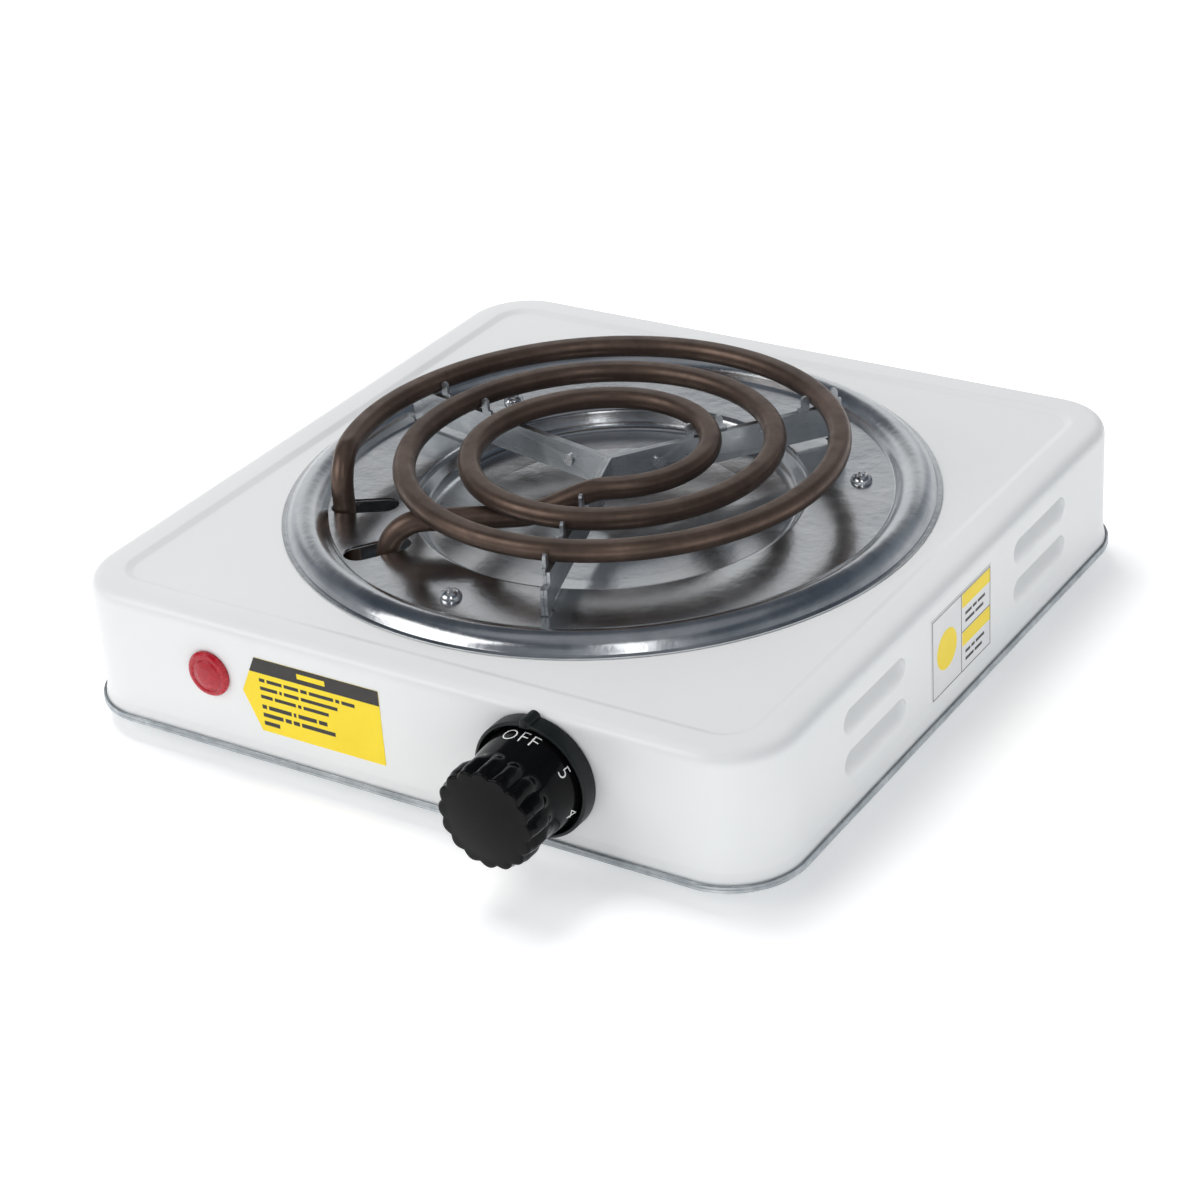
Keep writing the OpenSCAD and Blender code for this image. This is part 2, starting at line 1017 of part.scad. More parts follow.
module block_barrels() {
    color(brass)
        in_body()
            barrel_places()
                difference() {
                    along_y()
                        cylinder(r = 2.8, h = 14, center = true);
                    along_y()
                        cylinder(r = 1.7, h = 16, center = true);
                    for (y = [-4, 4])
                        translate([0, y, 0])
                            cylinder(r = 1.25, h = 6);
                }
}

module block_screws() {
    color(steel)
        in_body()
            barrel_places()
                for (y = [-4, 4])
                    translate([0, y, 1.8]) {
                        cylinder(r = 1.2, h = 2);
                        translate([0, 0, 1.6])
                            cylinder(r = 1.8, h = 2.4);
                    }
}

module block_mount_screw() {
    color(steel)
        in_body()
            translate(block_p + [block_pitch / 2, 0, 0]) {
                translate([0, 0, -1])
                    cylinder(r = 1.5, h = 9);
                translate([0, 0, -0.9 - 1.8])
                    cylinder(r = 3, h = 1.8);
            }
}

module earth_tag() {
    color(brass)
        in_body()
            translate(earth_p)
                difference() {
                    union() {
                        cylinder(r = 3.6, h = 0.8);
                        translate([-6, 0, 0.4])
                            cube([12, 3.6, 0.8], center = true);
                    }
                    translate([0, 0, -1])
                        cylinder(r = 1.6, h = 3);
                }
}

module earth_screw() {
    color(brass)
        in_body()
            translate(earth_p + [0, 0, 0.85]) {
                pan_head(3, 2.2);
                translate([0, 0, -4.4])
                    cylinder(r = 1.5, h = 4.6);
            }
}

module wire_live() {
    x = block_p[0] + block_pitch;
    color([0.35, 0.2, 0.1])
        in_body()
            wire([[x, block_p[1] - 5, barrel_z], [x, -88, barrel_z], [x, -88, axis_z],
                [15, -88, axis_z], [15, tail_y + 2.9, axis_z]], 1.2, 4);
}

module wire_element() {
    x = leg_q[0] + 6;
    color([0.8, 0.15, 0.1])
        in_body()
            wire([[20, tail_y - 1.5, axis_z], [5, tail_y - 1.5, axis_z],
                [5, tail_y - 1.5, tag_z + 1.25], [x, tail_y - 1.5, tag_z + 1.25],
                [x, leg_q[1] + 1, tag_z + 1.25]], 1.2, 4);
}

module wire_neutral() {
    x = block_p[0] - block_pitch;
    end_x = outer_q[0] + 6;
    color([0.15, 0.3, 0.75])
        in_body()
            wire([[x, block_p[1] - 5, barrel_z], [x, 20, barrel_z], [end_x, 20, barrel_z],
                [end_x, 20, tag_z + 1.25], [end_x, outer_q[1] - 1, tag_z + 1.25]], 1.2, 3);
}

module wire_earth() {
    x = block_p[0];
    y = earth_p[1];
    z = earth_p[2] + 2.05;
    color([0.4, 0.7, 0.1])
        in_body()
            wire([[x, block_p[1] - 5, barrel_z], [x, y, barrel_z], [x, y, z],
                [earth_p[0] - 5, y, z]], 1.2, 1.6);
}

module wires_pilot() {
    z = tag_z - 1.75;
    color([0.7, 0.7, 0.72])
        in_body() {
            wire([[lens_x + 3.2, front_y + 20.1, lens_z], [lens_x + 3.2, -90, lens_z],
                [lens_x + 3.2, -90, z], [leg_q[0] + 6, -90, z], [leg_q[0] + 6, leg_q[1] - 1, z]],
                0.7, 3);
            wire([[lens_x - 1, front_y + 12.2, lens_z], [lens_x - 1, -80, lens_z],
                [lens_x - 1, -80, z], [lens_x - 1, outer_q[1] - 1, z]], 0.7, 3);
        }
}

housing();
louvre_trays();
base_plate();
corner_posts();
rubber_feet();
foot_screws();
drip_pan();
pan_screws();
coil_element();
element_pins();
element_beads();
pin_tags();
spider_strip_front_left();
spider_strip_front_right();
spider_strip_rear();
spider_rivets();
knob();
knob_numerals();
knob_spring_clip();
knob_bezel();
spindle();
spindle_bushing();
bushing_nut();
thermostat_plate();
stack_insulators();
stack_rivet();
leaf_terminal();
moving_leaf();
moving_contact();
fixed_leaf();
fixed_contact();
bimetal_strip();
bimetal_pin();
push_pin();
pilot_lens();
pilot_retainer();
neon_lamp();
lamp_resistor();
front_label();
side_label();
cord_gland();
terminal_block();
block_barrels();
block_screws();
block_mount_screw();
earth_screw();
earth_tag();
wire_live();
wire_element();
wire_neutral();
wire_earth();
wires_pilot();
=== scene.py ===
import json
import math

import bmesh
import bpy
import numpy as np
from mathutils import Matrix, Vector


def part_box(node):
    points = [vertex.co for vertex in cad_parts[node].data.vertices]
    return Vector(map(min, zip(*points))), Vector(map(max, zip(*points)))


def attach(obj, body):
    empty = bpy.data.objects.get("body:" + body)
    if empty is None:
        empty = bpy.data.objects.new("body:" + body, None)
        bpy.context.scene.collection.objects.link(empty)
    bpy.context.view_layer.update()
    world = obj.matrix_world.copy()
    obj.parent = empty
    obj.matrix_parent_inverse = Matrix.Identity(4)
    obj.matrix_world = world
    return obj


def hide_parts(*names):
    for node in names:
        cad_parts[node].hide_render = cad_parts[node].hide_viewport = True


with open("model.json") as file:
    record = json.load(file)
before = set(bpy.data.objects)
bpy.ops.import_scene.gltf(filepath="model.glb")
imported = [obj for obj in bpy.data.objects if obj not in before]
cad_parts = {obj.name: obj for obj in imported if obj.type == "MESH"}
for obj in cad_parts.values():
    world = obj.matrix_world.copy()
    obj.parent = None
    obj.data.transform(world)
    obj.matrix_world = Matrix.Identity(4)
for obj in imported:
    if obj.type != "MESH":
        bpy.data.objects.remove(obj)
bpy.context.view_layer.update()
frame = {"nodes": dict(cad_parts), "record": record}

MM = 0.001
NODES = frame["nodes"]
RNG = np.random.default_rng(7)


def box_mm(node):
    lo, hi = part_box(node)
    return np.array(lo) / MM, np.array(hi) / MM


HOUSING_TOP = box_mm("housing")[1]
B_LO, B_HI = box_mm("base_plate")
C_LO, C_HI = box_mm("coil_element")
K_LO, K_HI = box_mm("knob")
BODY_Y = (B_LO[1] + B_HI[1]) / 2
TOP_Z = HOUSING_TOP[2]
PANEL_Z = TOP_Z - 1
BASE_Z = B_LO[2]
RIM_X = B_HI[0]
RIM_Y = (B_HI[1] - B_LO[1]) / 2
WALL_IN = 1.9
WALL_X = RIM_X - WALL_IN
WALL_Y = RIM_Y - WALL_IN
CORNER = 21.0
FRONT = BODY_Y - WALL_Y
REAR = BODY_Y + WALL_Y
KNOB_X = (K_LO[0] + K_HI[0]) / 2
KNOB_Z = (K_LO[2] + K_HI[2]) / 2
# the spider's arms: angle and length
ARMS = ((-72, 80), (54, 80), (168, 88.5))
LEG_SLOT_RADIUS = 75.5
SCREW_RADIUS = 76.5
SCREW_ANGLES = (-95.4, 30.8, 146.3)
SHELL_SHEET = 0.8
PAN_SHEET = 0.6


# ------------------------------------------------------------------ materials

def new_material(name):
    mat = bpy.data.materials.new(name)
    mat.use_nodes = True
    tree = mat.node_tree
    return mat, tree, tree.nodes["Principled BSDF"]


def node(tree, kind, **values):
    """A new node with the named inputs or properties set."""
    made = tree.nodes.new(kind)
    for key, value in values.items():
        if key in made.inputs:
            made.inputs[key].default_value = value
        else:
            setattr(made, key, value)
    return made


def coords(tree, stretch=(1, 1, 1)):
    """Object coordinates in millimetres, stretched per axis."""
    tex = tree.nodes.new("ShaderNodeTexCoord")
    mapping = tree.nodes.new("ShaderNodeMapping")
    mapping.inputs["Scale"].default_value = [1000 * s for s in stretch]
    tree.links.new(tex.outputs["Object"], mapping.inputs["Vector"])
    return mapping.outputs["Vector"]


def noise(tree, where, scale, detail=3, rough=0.55):
    made = node(tree, "ShaderNodeTexNoise", Scale=scale, Detail=detail, Roughness=rough)
    tree.links.new(where, made.inputs["Vector"])
    return made.outputs["Fac"]


def ramp(tree, fac, stops):
    """A colour ramp through (position, colour) stops."""
    made = tree.nodes.new("ShaderNodeValToRGB")
    elements = made.color_ramp.elements
    elements[0].position, elements[0].color = stops[0][0], (*stops[0][1], 1)
    elements[1].position, elements[1].color = stops[-1][0], (*stops[-1][1], 1)
    for position, colour in stops[1:-1]:
        extra = elements.new(position)
        extra.color = (*colour, 1)
    tree.links.new(fac, made.inputs["Fac"])
    return made.outputs["Color"]


def spread(tree, fac, low, high, start=0.3, end=0.7):
    """Maps start..end to low..high."""
    made = node(tree, "ShaderNodeMapRange")
    for key, value in (("From Min", start), ("From Max", end), ("To Min", low), ("To Max", high)):
        made.inputs[key].default_value = value
    tree.links.new(fac, made.inputs["Value"])
    return made.outputs["Result"]


def mixed(tree, fac, a, b, blend="MIX"):
    """Blends two colours; each of the three may be a socket or a plain value."""
    made = tree.nodes.new("ShaderNodeMix")
    made.data_type = "RGBA"
    made.blend_type = blend
    for socket, value in ((made.inputs["Factor"], fac), (made.inputs["A"], a), (made.inputs["B"], b)):
        if isinstance(value, bpy.types.NodeSocket):
            tree.links.new(value, socket)
        else:
            socket.default_value = value if isinstance(value, float) else (*value, 1)
    return made.outputs["Result"]


def bump(tree, shader, height, strength, distance=0.0002):
    """Adds a bump on top of those the shader already has."""
    made = node(tree, "ShaderNodeBump", Strength=strength, Distance=distance)
    tree.links.new(height, made.inputs["Height"])
    previous = shader.inputs["Normal"].links
    if previous:
        tree.links.new(previous[0].from_socket, made.inputs["Normal"])
    tree.links.new(made.outputs["Normal"], shader.inputs["Normal"])


def finish(name, colour, tint, rough, metal=0.0, grain=0.6, cloud=0.05, stretch=(1, 1, 1), depth=0.15,
           specular=0.5, wear=None):
    """A surface with mottled colour, uneven roughness, fine grain and, optionally, worn edges."""
    mat, tree, shader = new_material(name)
    where = coords(tree, stretch)
    patch = noise(tree, where, cloud, 4)
    fine = noise(tree, where, grain, 4, 0.65)
    shade = ramp(tree, patch, [(0.3, colour), (0.7, tint)])
    if wear is not None:
        geometry = tree.nodes.new("ShaderNodeNewGeometry")
        edge = spread(tree, geometry.outputs["Pointiness"], 0.0, 1.0, 0.53, 0.62)
        rubbed = node(tree, "ShaderNodeMath", operation="MULTIPLY")
        tree.links.new(edge, rubbed.inputs[0])
        tree.links.new(spread(tree, fine, 0.2, 0.9), rubbed.inputs[1])
        shade = mixed(tree, rubbed.outputs[0], shade, wear)
    tree.links.new(shade, shader.inputs["Base Color"])
    tree.links.new(spread(tree, fine, rough[0], rough[1]), shader.inputs["Roughness"])
    shader.inputs["Metallic"].default_value = metal
    shader.inputs["Specular IOR Level"].default_value = specular
    bump(tree, shader, fine, depth)
    return mat


def enamel():
    """White stove enamel: faint orange peel, slight yellowing patches, glossy coat."""
    mat, tree, shader = new_material("stove_enamel")
    where = coords(tree)
    patch = noise(tree, where, 0.018, 4)
    peel = noise(tree, where, 0.55, 2)
    specks = noise(tree, where, 1.7, 1)
    shade = ramp(tree, patch, [(0.3, (0.80, 0.815, 0.815)), (0.7, (0.835, 0.84, 0.835))])
    dirt = spread(tree, specks, 0.0, 0.25, 0.77, 0.83)
    shade = mixed(tree, dirt, shade, (0.35, 0.33, 0.3))
    tree.links.new(shade, shader.inputs["Base Color"])
    tree.links.new(spread(tree, patch, 0.34, 0.42), shader.inputs["Roughness"])
    shader.inputs["Coat Weight"].default_value = 0.25
    shader.inputs["Coat Roughness"].default_value = 0.18
    bump(tree, shader, peel, 0.09, 0.00015)
    return mat


def pan_steel():
    """Polished pressed steel: drawing marks round the axis, smears and fine straight scratches."""
    mat, tree, shader = new_material("polished_pan")
    where = coords(tree)
    centred = node(tree, "ShaderNodeVectorMath", operation="SUBTRACT")
    centred.inputs[1].default_value = (0, BODY_Y, 0)
    tree.links.new(where, centred.inputs[0])
    split = tree.nodes.new("ShaderNodeSeparateXYZ")
    tree.links.new(centred.outputs["Vector"], split.inputs["Vector"])
    length = node(tree, "ShaderNodeVectorMath", operation="LENGTH")
    flat = tree.nodes.new("ShaderNodeCombineXYZ")
    tree.links.new(split.outputs["X"], flat.inputs["X"])
    tree.links.new(split.outputs["Y"], flat.inputs["Y"])
    tree.links.new(flat.outputs["Vector"], length.inputs[0])
    angle = node(tree, "ShaderNodeMath", operation="ARCTAN2")
    tree.links.new(split.outputs["Y"], angle.inputs[0])
    tree.links.new(split.outputs["X"], angle.inputs[1])
    polar = tree.nodes.new("ShaderNodeCombineXYZ")
    tree.links.new(length.outputs["Value"], polar.inputs["X"])
    tree.links.new(angle.outputs["Value"], polar.inputs["Y"])
    tree.links.new(split.outputs["Z"], polar.inputs["Z"])
    rings = noise(tree, polar.outputs["Vector"], 1.3, 3, 0.7)
    smear = noise(tree, where, 0.045, 5, 0.6)
    streak_map = node(tree, "ShaderNodeMapping")
    streak_map.inputs["Scale"].default_value = (0.25, 3.2, 1)
    streak_map.inputs["Rotation"].default_value = (0, 0, 0.5)
    tree.links.new(where, streak_map.inputs["Vector"])
    streaks = noise(tree, streak_map.outputs["Vector"], 0.9, 4, 0.7)
    shade = ramp(tree, smear, [(0.32, (0.56, 0.58, 0.60)), (0.55, (0.70, 0.715, 0.73)),
                               (0.7, (0.82, 0.83, 0.84))])
    line = spread(tree, streaks, 0.0, 0.35, 0.68, 0.8)
    shade = mixed(tree, line, shade, (0.95, 0.95, 0.95))
    tree.links.new(shade, shader.inputs["Base Color"])
    shader.inputs["Metallic"].default_value = 1.0
    tree.links.new(spread(tree, smear, 0.16, 0.27), shader.inputs["Roughness"])
    bump(tree, shader, rings, 0.05, 0.00008)
    bump(tree, shader, streaks, 0.06, 0.00008)
    bump(tree, shader, smear, 0.2, 0.0012)
    return mat


def zinc():
    """Galvanised sheet: spangle, rolling marks and dull grey-blue patches."""
    mat, tree, shader = new_material("galvanised")
    where = coords(tree)
    cells = node(tree, "ShaderNodeTexVoronoi", Scale=0.35)
    tree.links.new(where, cells.inputs["Vector"])
    patch = noise(tree, where, 0.09, 5, 0.6)
    along = node(tree, "ShaderNodeMapping")
    along.inputs["Scale"].default_value = (0.12, 0.12, 2.4)
    tree.links.new(where, along.inputs["Vector"])
    rolled = noise(tree, along.outputs["Vector"], 1.2, 3)
    shade = ramp(tree, patch, [(0.3, (0.29, 0.32, 0.34)), (0.55, (0.42, 0.45, 0.47)),
                               (0.72, (0.60, 0.63, 0.65))])
    spangle = ramp(tree, cells.outputs["Distance"], [(0.1, (0.36, 0.36, 0.36)), (0.7, (0.62, 0.62, 0.62))])
    shade = mixed(tree, 0.4, shade, spangle, "SOFT_LIGHT")
    geometry = tree.nodes.new("ShaderNodeNewGeometry")
    edge = spread(tree, geometry.outputs["Pointiness"], 0.0, 0.7, 0.53, 0.6)
    shade = mixed(tree, edge, shade, (0.78, 0.8, 0.81))
    tree.links.new(shade, shader.inputs["Base Color"])
    shader.inputs["Metallic"].default_value = 0.95
    tree.links.new(spread(tree, rolled, 0.26, 0.44), shader.inputs["Roughness"])
    bump(tree, shader, rolled, 0.12)
    bump(tree, shader, patch, 0.15, 0.0006)
    return mat


def sheath():
    """Heat-browned tube: satin metal with drawing streaks, dark blotches and rubbed places."""
    mat, tree, shader = new_material("browned_sheath")
    where = coords(tree)
    patch = noise(tree, where, 0.06, 5, 0.6)
    fine = noise(tree, where, 1.1, 4, 0.7)
    blotch = noise(tree, where, 0.22, 4, 0.65)
    shade = ramp(tree, patch, [(0.3, (0.098, 0.066, 0.051)), (0.5, (0.135, 0.091, 0.070)),
                               (0.72, (0.185, 0.125, 0.096))])
    dark = spread(tree, blotch, 0.0, 0.35, 0.55, 0.75)
    shade = mixed(tree, dark, shade, (0.06, 0.042, 0.034))
    rubbed = spread(tree, fine, 0.0, 0.22, 0.6, 0.8)
    shade = mixed(tree, rubbed, shade, (0.27, 0.195, 0.15))
    tree.links.new(shade, shader.inputs["Base Color"])
    shader.inputs["Metallic"].default_value = 0.72
    tree.links.new(spread(tree, blotch, 0.30, 0.46), shader.inputs["Roughness"])
    bump(tree, shader, fine, 0.1, 0.00012)
    bump(tree, shader, blotch, 0.12, 0.0003)
    return mat


def lens_red():
    """Clear red moulding with a faint ripple."""
    mat, tree, shader = new_material("red_lens")
    where = coords(tree)
    ripple = noise(tree, where, 0.9, 3)
    shade = ramp(tree, ripple, [(0.3, (0.50, 0.002, 0.018)), (0.7, (0.62, 0.006, 0.03))])
    tree.links.new(shade, shader.inputs["Base Color"])
    tree.links.new(spread(tree, ripple, 0.2, 0.3), shader.inputs["Roughness"])
    shader.inputs["Transmission Weight"].default_value = 0.25
    shader.inputs["Subsurface Weight"].default_value = 0.3
    shader.inputs["Subsurface Radius"].default_value = (0.004, 0.0006, 0.0006)
    shader.inputs["Subsurface Scale"].default_value = 1.0
    bump(tree, shader, ripple, 0.08, 0.0002)
    return mat


MATS = {
    "white_paint": enamel(),
    "pan_steel": pan_steel(),
    "zinc_sheet": zinc(),
    "sheath": sheath(),
    "bright_steel": finish("bright_plate", (0.74, 0.75, 0.77), (0.86, 0.86, 0.86), (0.12, 0.26), 1.0, 1.4,
                           0.2, depth=0.12, wear=(0.95, 0.95, 0.95)),
    "rubber": finish("foot_rubber", (0.018, 0.018, 0.019), (0.035, 0.034, 0.033), (0.6, 0.8), 0.0, 1.2, 0.08,
                     depth=0.3),
    "black_gloss": finish("knob_black", (0.003, 0.003, 0.0035), (0.005, 0.005, 0.0055), (0.07, 0.13), 0.0, 0.5,
                          0.05, depth=0.04, specular=0.13, wear=(0.012, 0.012, 0.013)),
    "black_satin": finish("bezel_black", (0.004, 0.006, 0.006), (0.008, 0.011, 0.011), (0.36, 0.48), 0.0, 1.5,
                          0.07, depth=0.12, specular=0.3, wear=(0.02, 0.024, 0.024)),
    "white_ink": finish("dial_ink", (0.80, 0.80, 0.79), (0.9, 0.9, 0.89), (0.4, 0.5), 0.0, 2.5, 0.5,
                        depth=0.05),
    "brass": finish("brass", (0.60, 0.42, 0.16), (0.76, 0.57, 0.27), (0.22, 0.38), 1.0, 1.2, 0.15, depth=0.1,
                    wear=(0.9, 0.75, 0.42)),
    "steatite": finish("steatite", (0.72, 0.68, 0.58), (0.82, 0.79, 0.70), (0.6, 0.75), 0.0, 1.4, 0.2,
                       depth=0.2),
    "bimetal": finish("bimetal", (0.40, 0.38, 0.31), (0.55, 0.52, 0.42), (0.28, 0.42), 1.0, 1.0, 0.2,
                      depth=0.1),
    "red_lens": lens_red(),
    "lamp_glass": finish("lamp_glass", (0.85, 0.5, 0.32), (0.95, 0.62, 0.42), (0.08, 0.15), 0.0, 0.8, 0.2,
                         depth=0.03),
    "yellow_film": finish("label_yellow", (0.93, 0.69, 0.0), (0.98, 0.74, 0.005), (0.36, 0.44), 0.0, 0.9, 0.06,
                          depth=0.04),
    "white_film": finish("label_white", (0.74, 0.75, 0.76), (0.80, 0.80, 0.80), (0.4, 0.5), 0.0, 0.9, 0.06,
                         depth=0.04),
    "black_ink": finish("label_ink", (0.012, 0.010, 0.009), (0.022, 0.018, 0.016), (0.38, 0.5), 0.0, 1.5, 0.2,
                        depth=0.04),
    "block_plastic": finish("block_plastic", (0.72, 0.70, 0.64), (0.80, 0.78, 0.72), (0.4, 0.55), 0.0, 1.2, 0.1,
                            depth=0.1),
}
for slot, colour in (("brown_wire", (0.14, 0.06, 0.025)), ("red_wire", (0.55, 0.03, 0.02)),
                     ("blue_wire", (0.03, 0.09, 0.45)), ("green_wire", (0.16, 0.38, 0.03)),
                     ("grey_wire", (0.38, 0.38, 0.4))):
    MATS[slot] = finish(slot, colour, tuple(min(1, c * 1.25) for c in colour), (0.4, 0.55), 0.0, 1.2, 0.1,
                        depth=0.1)
SLOT_OF = {s["node"]: s["material_slot"] for s in frame["record"]["subparts"]}
for name, obj in NODES.items():
    obj.data.materials.clear()
    obj.data.materials.append(MATS[SLOT_OF[name]])


# ------------------------------------------------------------------ mesh tools

def sharpen(mesh, degrees=32):
    """Smooth shading, with sharp edges where faces meet at more than the angle."""
    bm = bmesh.new()
    bm.from_mesh(mesh)
    bmesh.ops.recalc_face_normals(bm, faces=bm.faces)
    limit = math.radians(degrees)
    for face in bm.faces:
        face.smooth = True
    for edge in bm.edges:
        edge.smooth = len(edge.link_faces) == 2 and edge.calc_face_angle(0) < limit
    bm.to_mesh(mesh)
    bm.free()


def raw_object(name, verts, faces, slots=()):
    """An object made of vertices in millimetres."""
    mesh = bpy.data.meshes.new(name)
    mesh.from_pydata([tuple(float(c) * MM for c in v) for v in verts], [],
                     [tuple(map(int, f)) for f in faces])
    mesh.validate()
    for slot_name in slots:
        mesh.materials.append(MATS[slot_name])
    obj = bpy.data.objects.new(name, mesh)
    bpy.context.scene.collection.objects.link(obj)
    return obj


def piece(name, verts, faces, slot_name, body="appliance", stands_for=(), degrees=32, extra=()):
    """A finished piece in millimetres of the row frame, riding on a body."""
    obj = raw_object(name, verts, faces, (slot_name, *extra))
    sharpen(obj.data, degrees)
    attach(obj, body)
    if stands_for:
        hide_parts(*stands_for)
    return obj


def loft(rings, close_v=False, cap_start=False, cap_end=False):
    """Quads between closed rings of equal length; close_v joins the last ring to the first."""
    rings = np.asarray(rings, float)
    n, m, _ = rings.shape
    index = np.arange(n * m).reshape(n, m)
    faces = []
    for i in range(n if close_v else n - 1):
        a, b = index[i], index[(i + 1) % n]
        faces += list(zip(a, np.roll(a, -1), np.roll(b, -1), b))
    if cap_start:
        faces.append(tuple(index[0][::-1]))
    if cap_end:
        faces.append(tuple(index[-1]))
    return rings.reshape(-1, 3), faces


def joined(*parts):
    """Several (verts, faces) parts as one."""
    verts, faces, offset = [], [], 0
    for part_verts, part_faces in parts:
        verts.append(np.asarray(part_verts, float))
        faces += [tuple(i + offset for i in f) for f in part_faces]
        offset += len(part_verts)
    return np.concatenate(verts), faces


def capped(faces, count, ring):
    """Closes two neighbouring rings with a flat face each, in place of the band between them."""
    low, high = range(ring * count, (ring + 1) * count), range((ring + 1) * count, (ring + 2) * count)
    both = set(low) | set(high)
    return [f for f in faces if not set(f) <= both] + [tuple(low), tuple(high)[::-1]]


def fillet(points, steps=5):
    """Rounds the corners of an open line of (x, z, radius) points."""
    out = []
    for i, (x, z, radius) in enumerate(points):
        here = np.array([x, z], float)
        if radius == 0 or i in (0, len(points) - 1):
            out.append(here)
            continue
        a = np.array(points[i - 1][:2], float) - here
        b = np.array(points[i + 1][:2], float) - here
        la, lb = np.linalg.norm(a), np.linalg.norm(b)
        a, b = a / la, b / lb
        half = math.acos(max(-1, min(1, float(a @ b)))) / 2
        reach = min(radius / math.tan(half), 0.48 * la, 0.48 * lb)
        for k in range(steps + 1):
            s = k / steps
            out.append(here + a * reach * (1 - s) ** 2 + b * reach * s ** 2)
    return out


def smoothstep(x):
    x = np.clip(x, 0, 1)
    return x * x * (3 - 2 * x)


def frame_ring(offset, z, half_x=None, half_y=None, radius=CORNER, per_corner=20, per_side=24):
    """Points round a rounded rectangle, moved outwards by offset."""
    half_x = WALL_X if half_x is None else half_x
    half_y = WALL_Y if half_y is None else half_y
    r = radius + offset
    points = []
    for k in range(4):
        sx, sy = ((1, 1), (-1, 1), (-1, -1), (1, -1))[k]
        centre = np.array([sx * (half_x - radius), sy * (half_y - radius)])
        for i in range(per_corner + 1):
            a = math.radians(90 * k + 90 * i / per_corner)
            points.append(centre + r * np.array([math.cos(a), math.sin(a)]))
        nx, ny = ((-1, 1), (-1, -1), (1, -1), (1, 1))[k]
        after = np.array([nx * (half_x - radius), ny * (half_y - radius)])
        a = math.radians(90 * k + 90)
        first = points[-1]
        last = after + r * np.array([math.cos(a), math.sin(a)])
        for i in range(1, per_side):
            points.append(first + (last - first) * i / per_side)
    return np.array([[p[0], p[1] + BODY_Y, z] for p in points])


def circle_like(ring, radius, z):
    """A circle whose points lie at the same angles as those of a ring."""
    a = np.arctan2(ring[:, 1] - BODY_Y, ring[:, 0])
    return np.stack([radius * np.cos(a), BODY_Y + radius * np.sin(a), np.full(len(a), float(z))], 1)


def lathe(profile, count=192, centre=(0, 0)):
    """One ring of points about +Z for each (r, z) of a profile."""
    angles = np.linspace(0, 2 * math.pi, count, endpoint=False)
    return [np.stack([centre[0] + r * np.cos(angles), centre[1] + r * np.sin(angles),
                      np.full(count, float(z))], 1) for r, z in profile]


def prism(outline, low, high, place):
    """A closed prism; place maps (x, y, h) to the row frame."""
    n = len(outline)
    verts = [place(x, y, low) for x, y in outline] + [place(x, y, high) for x, y in outline]
    faces = [tuple(range(n))[::-1], tuple(range(n, 2 * n))]
    faces += [(i, (i + 1) % n, n + (i + 1) % n, n + i) for i in range(n)]
    return verts, faces


def obround(length, width, steps=16):
    """A slot outline with round ends, lying along x."""
    r = width / 2
    half = length / 2 - r
    out = []
    for sign, start in ((1, -90), (-1, 90)):
        for i in range(steps + 1):
            a = math.radians(start + 180 * i / steps)
            out.append((sign * half + r * math.cos(a), r * math.sin(a)))
    return out


def rectangle(x, y):
    return [(-x / 2, -y / 2), (x / 2, -y / 2), (x / 2, y / 2), (-x / 2, y / 2)]


def round_outline(r, steps=48):
    return [(r * math.cos(2 * math.pi * i / steps), r * math.sin(2 * math.pi * i / steps))
            for i in range(steps)]


def polar_place(angle, radius):
    """Local x runs outwards from the middle of the pan at an angle; h is the height."""
    a = math.radians(angle)
    c, s = math.cos(a), math.sin(a)
    return lambda x, y, h: (c * (radius + x) - s * y, BODY_Y + s * (radius + x) + c * y, h)


def cut(obj, cutters):
    """Takes the cutters out of a piece, for good."""
    tool = raw_object("cutter", *joined(*cutters))
    bm = bmesh.new()
    bm.from_mesh(tool.data)
    bmesh.ops.recalc_face_normals(bm, faces=bm.faces)
    bm.to_mesh(tool.data)
    bm.free()
    modifier = obj.modifiers.new("cut", "BOOLEAN")
    modifier.operation = "DIFFERENCE"
    modifier.solver = "EXACT"
    modifier.object = tool
    graph = bpy.context.evaluated_depsgraph_get()
    mesh = bpy.data.meshes.new_from_object(obj.evaluated_get(graph))
    obj.modifiers.clear()
    obj.data = mesh
    bpy.data.objects.remove(tool)
    sharpen(obj.data)


def front_place(x0, z0):
    """Local x to the right, y up and h out of the front wall."""
    return lambda x, y, h: (x0 + x, FRONT - h, z0 + y)


# ------------------------------------------------------------------ element route

TUBE = 3.45
# height of the pressed flat above the tube's middle
FLAT_TOP = 2.9
COIL_Z = C_HI[2] - FLAT_TOP
# the spiral: quarter arcs, each with its radius and centre one step in from the last
STEP = 4.9
ARCS = 11
COIL_A0 = 201
# the inner leg's drop and straight run, and the bend radii of both legs
LEG_DROP = 7.65
LEG_RUN = 57
LEG_BEND = 12
OUT_BEND = 11


def unit(a):
    return np.array([math.cos(math.radians(a)), math.sin(math.radians(a))])


def arc_centre(i):
    c = np.array([-1.0, -4.8])
    for k in range(i):
        c = c + STEP * unit(COIL_A0 - 90 * (k + 1))
    return c


def arc_radius(i):
    return 77.8 - STEP * i


LEG_A = -779
LEG_HEAD = LEG_A - 90
LEG_P = arc_centre(ARCS - 1) + arc_radius(ARCS - 1) * unit(LEG_A)
LEG_Q = LEG_P + (LEG_RUN + LEG_BEND) * unit(LEG_HEAD)
OUT_P = arc_centre(0) + arc_radius(0) * unit(COIL_A0)
OUT_Q = OUT_P + OUT_BEND * unit(COIL_A0 + 90)
LEG_ANGLES = [math.degrees(math.atan2(q[1], q[0])) for q in (LEG_Q, OUT_Q)]


# ------------------------------------------------------------------ housing

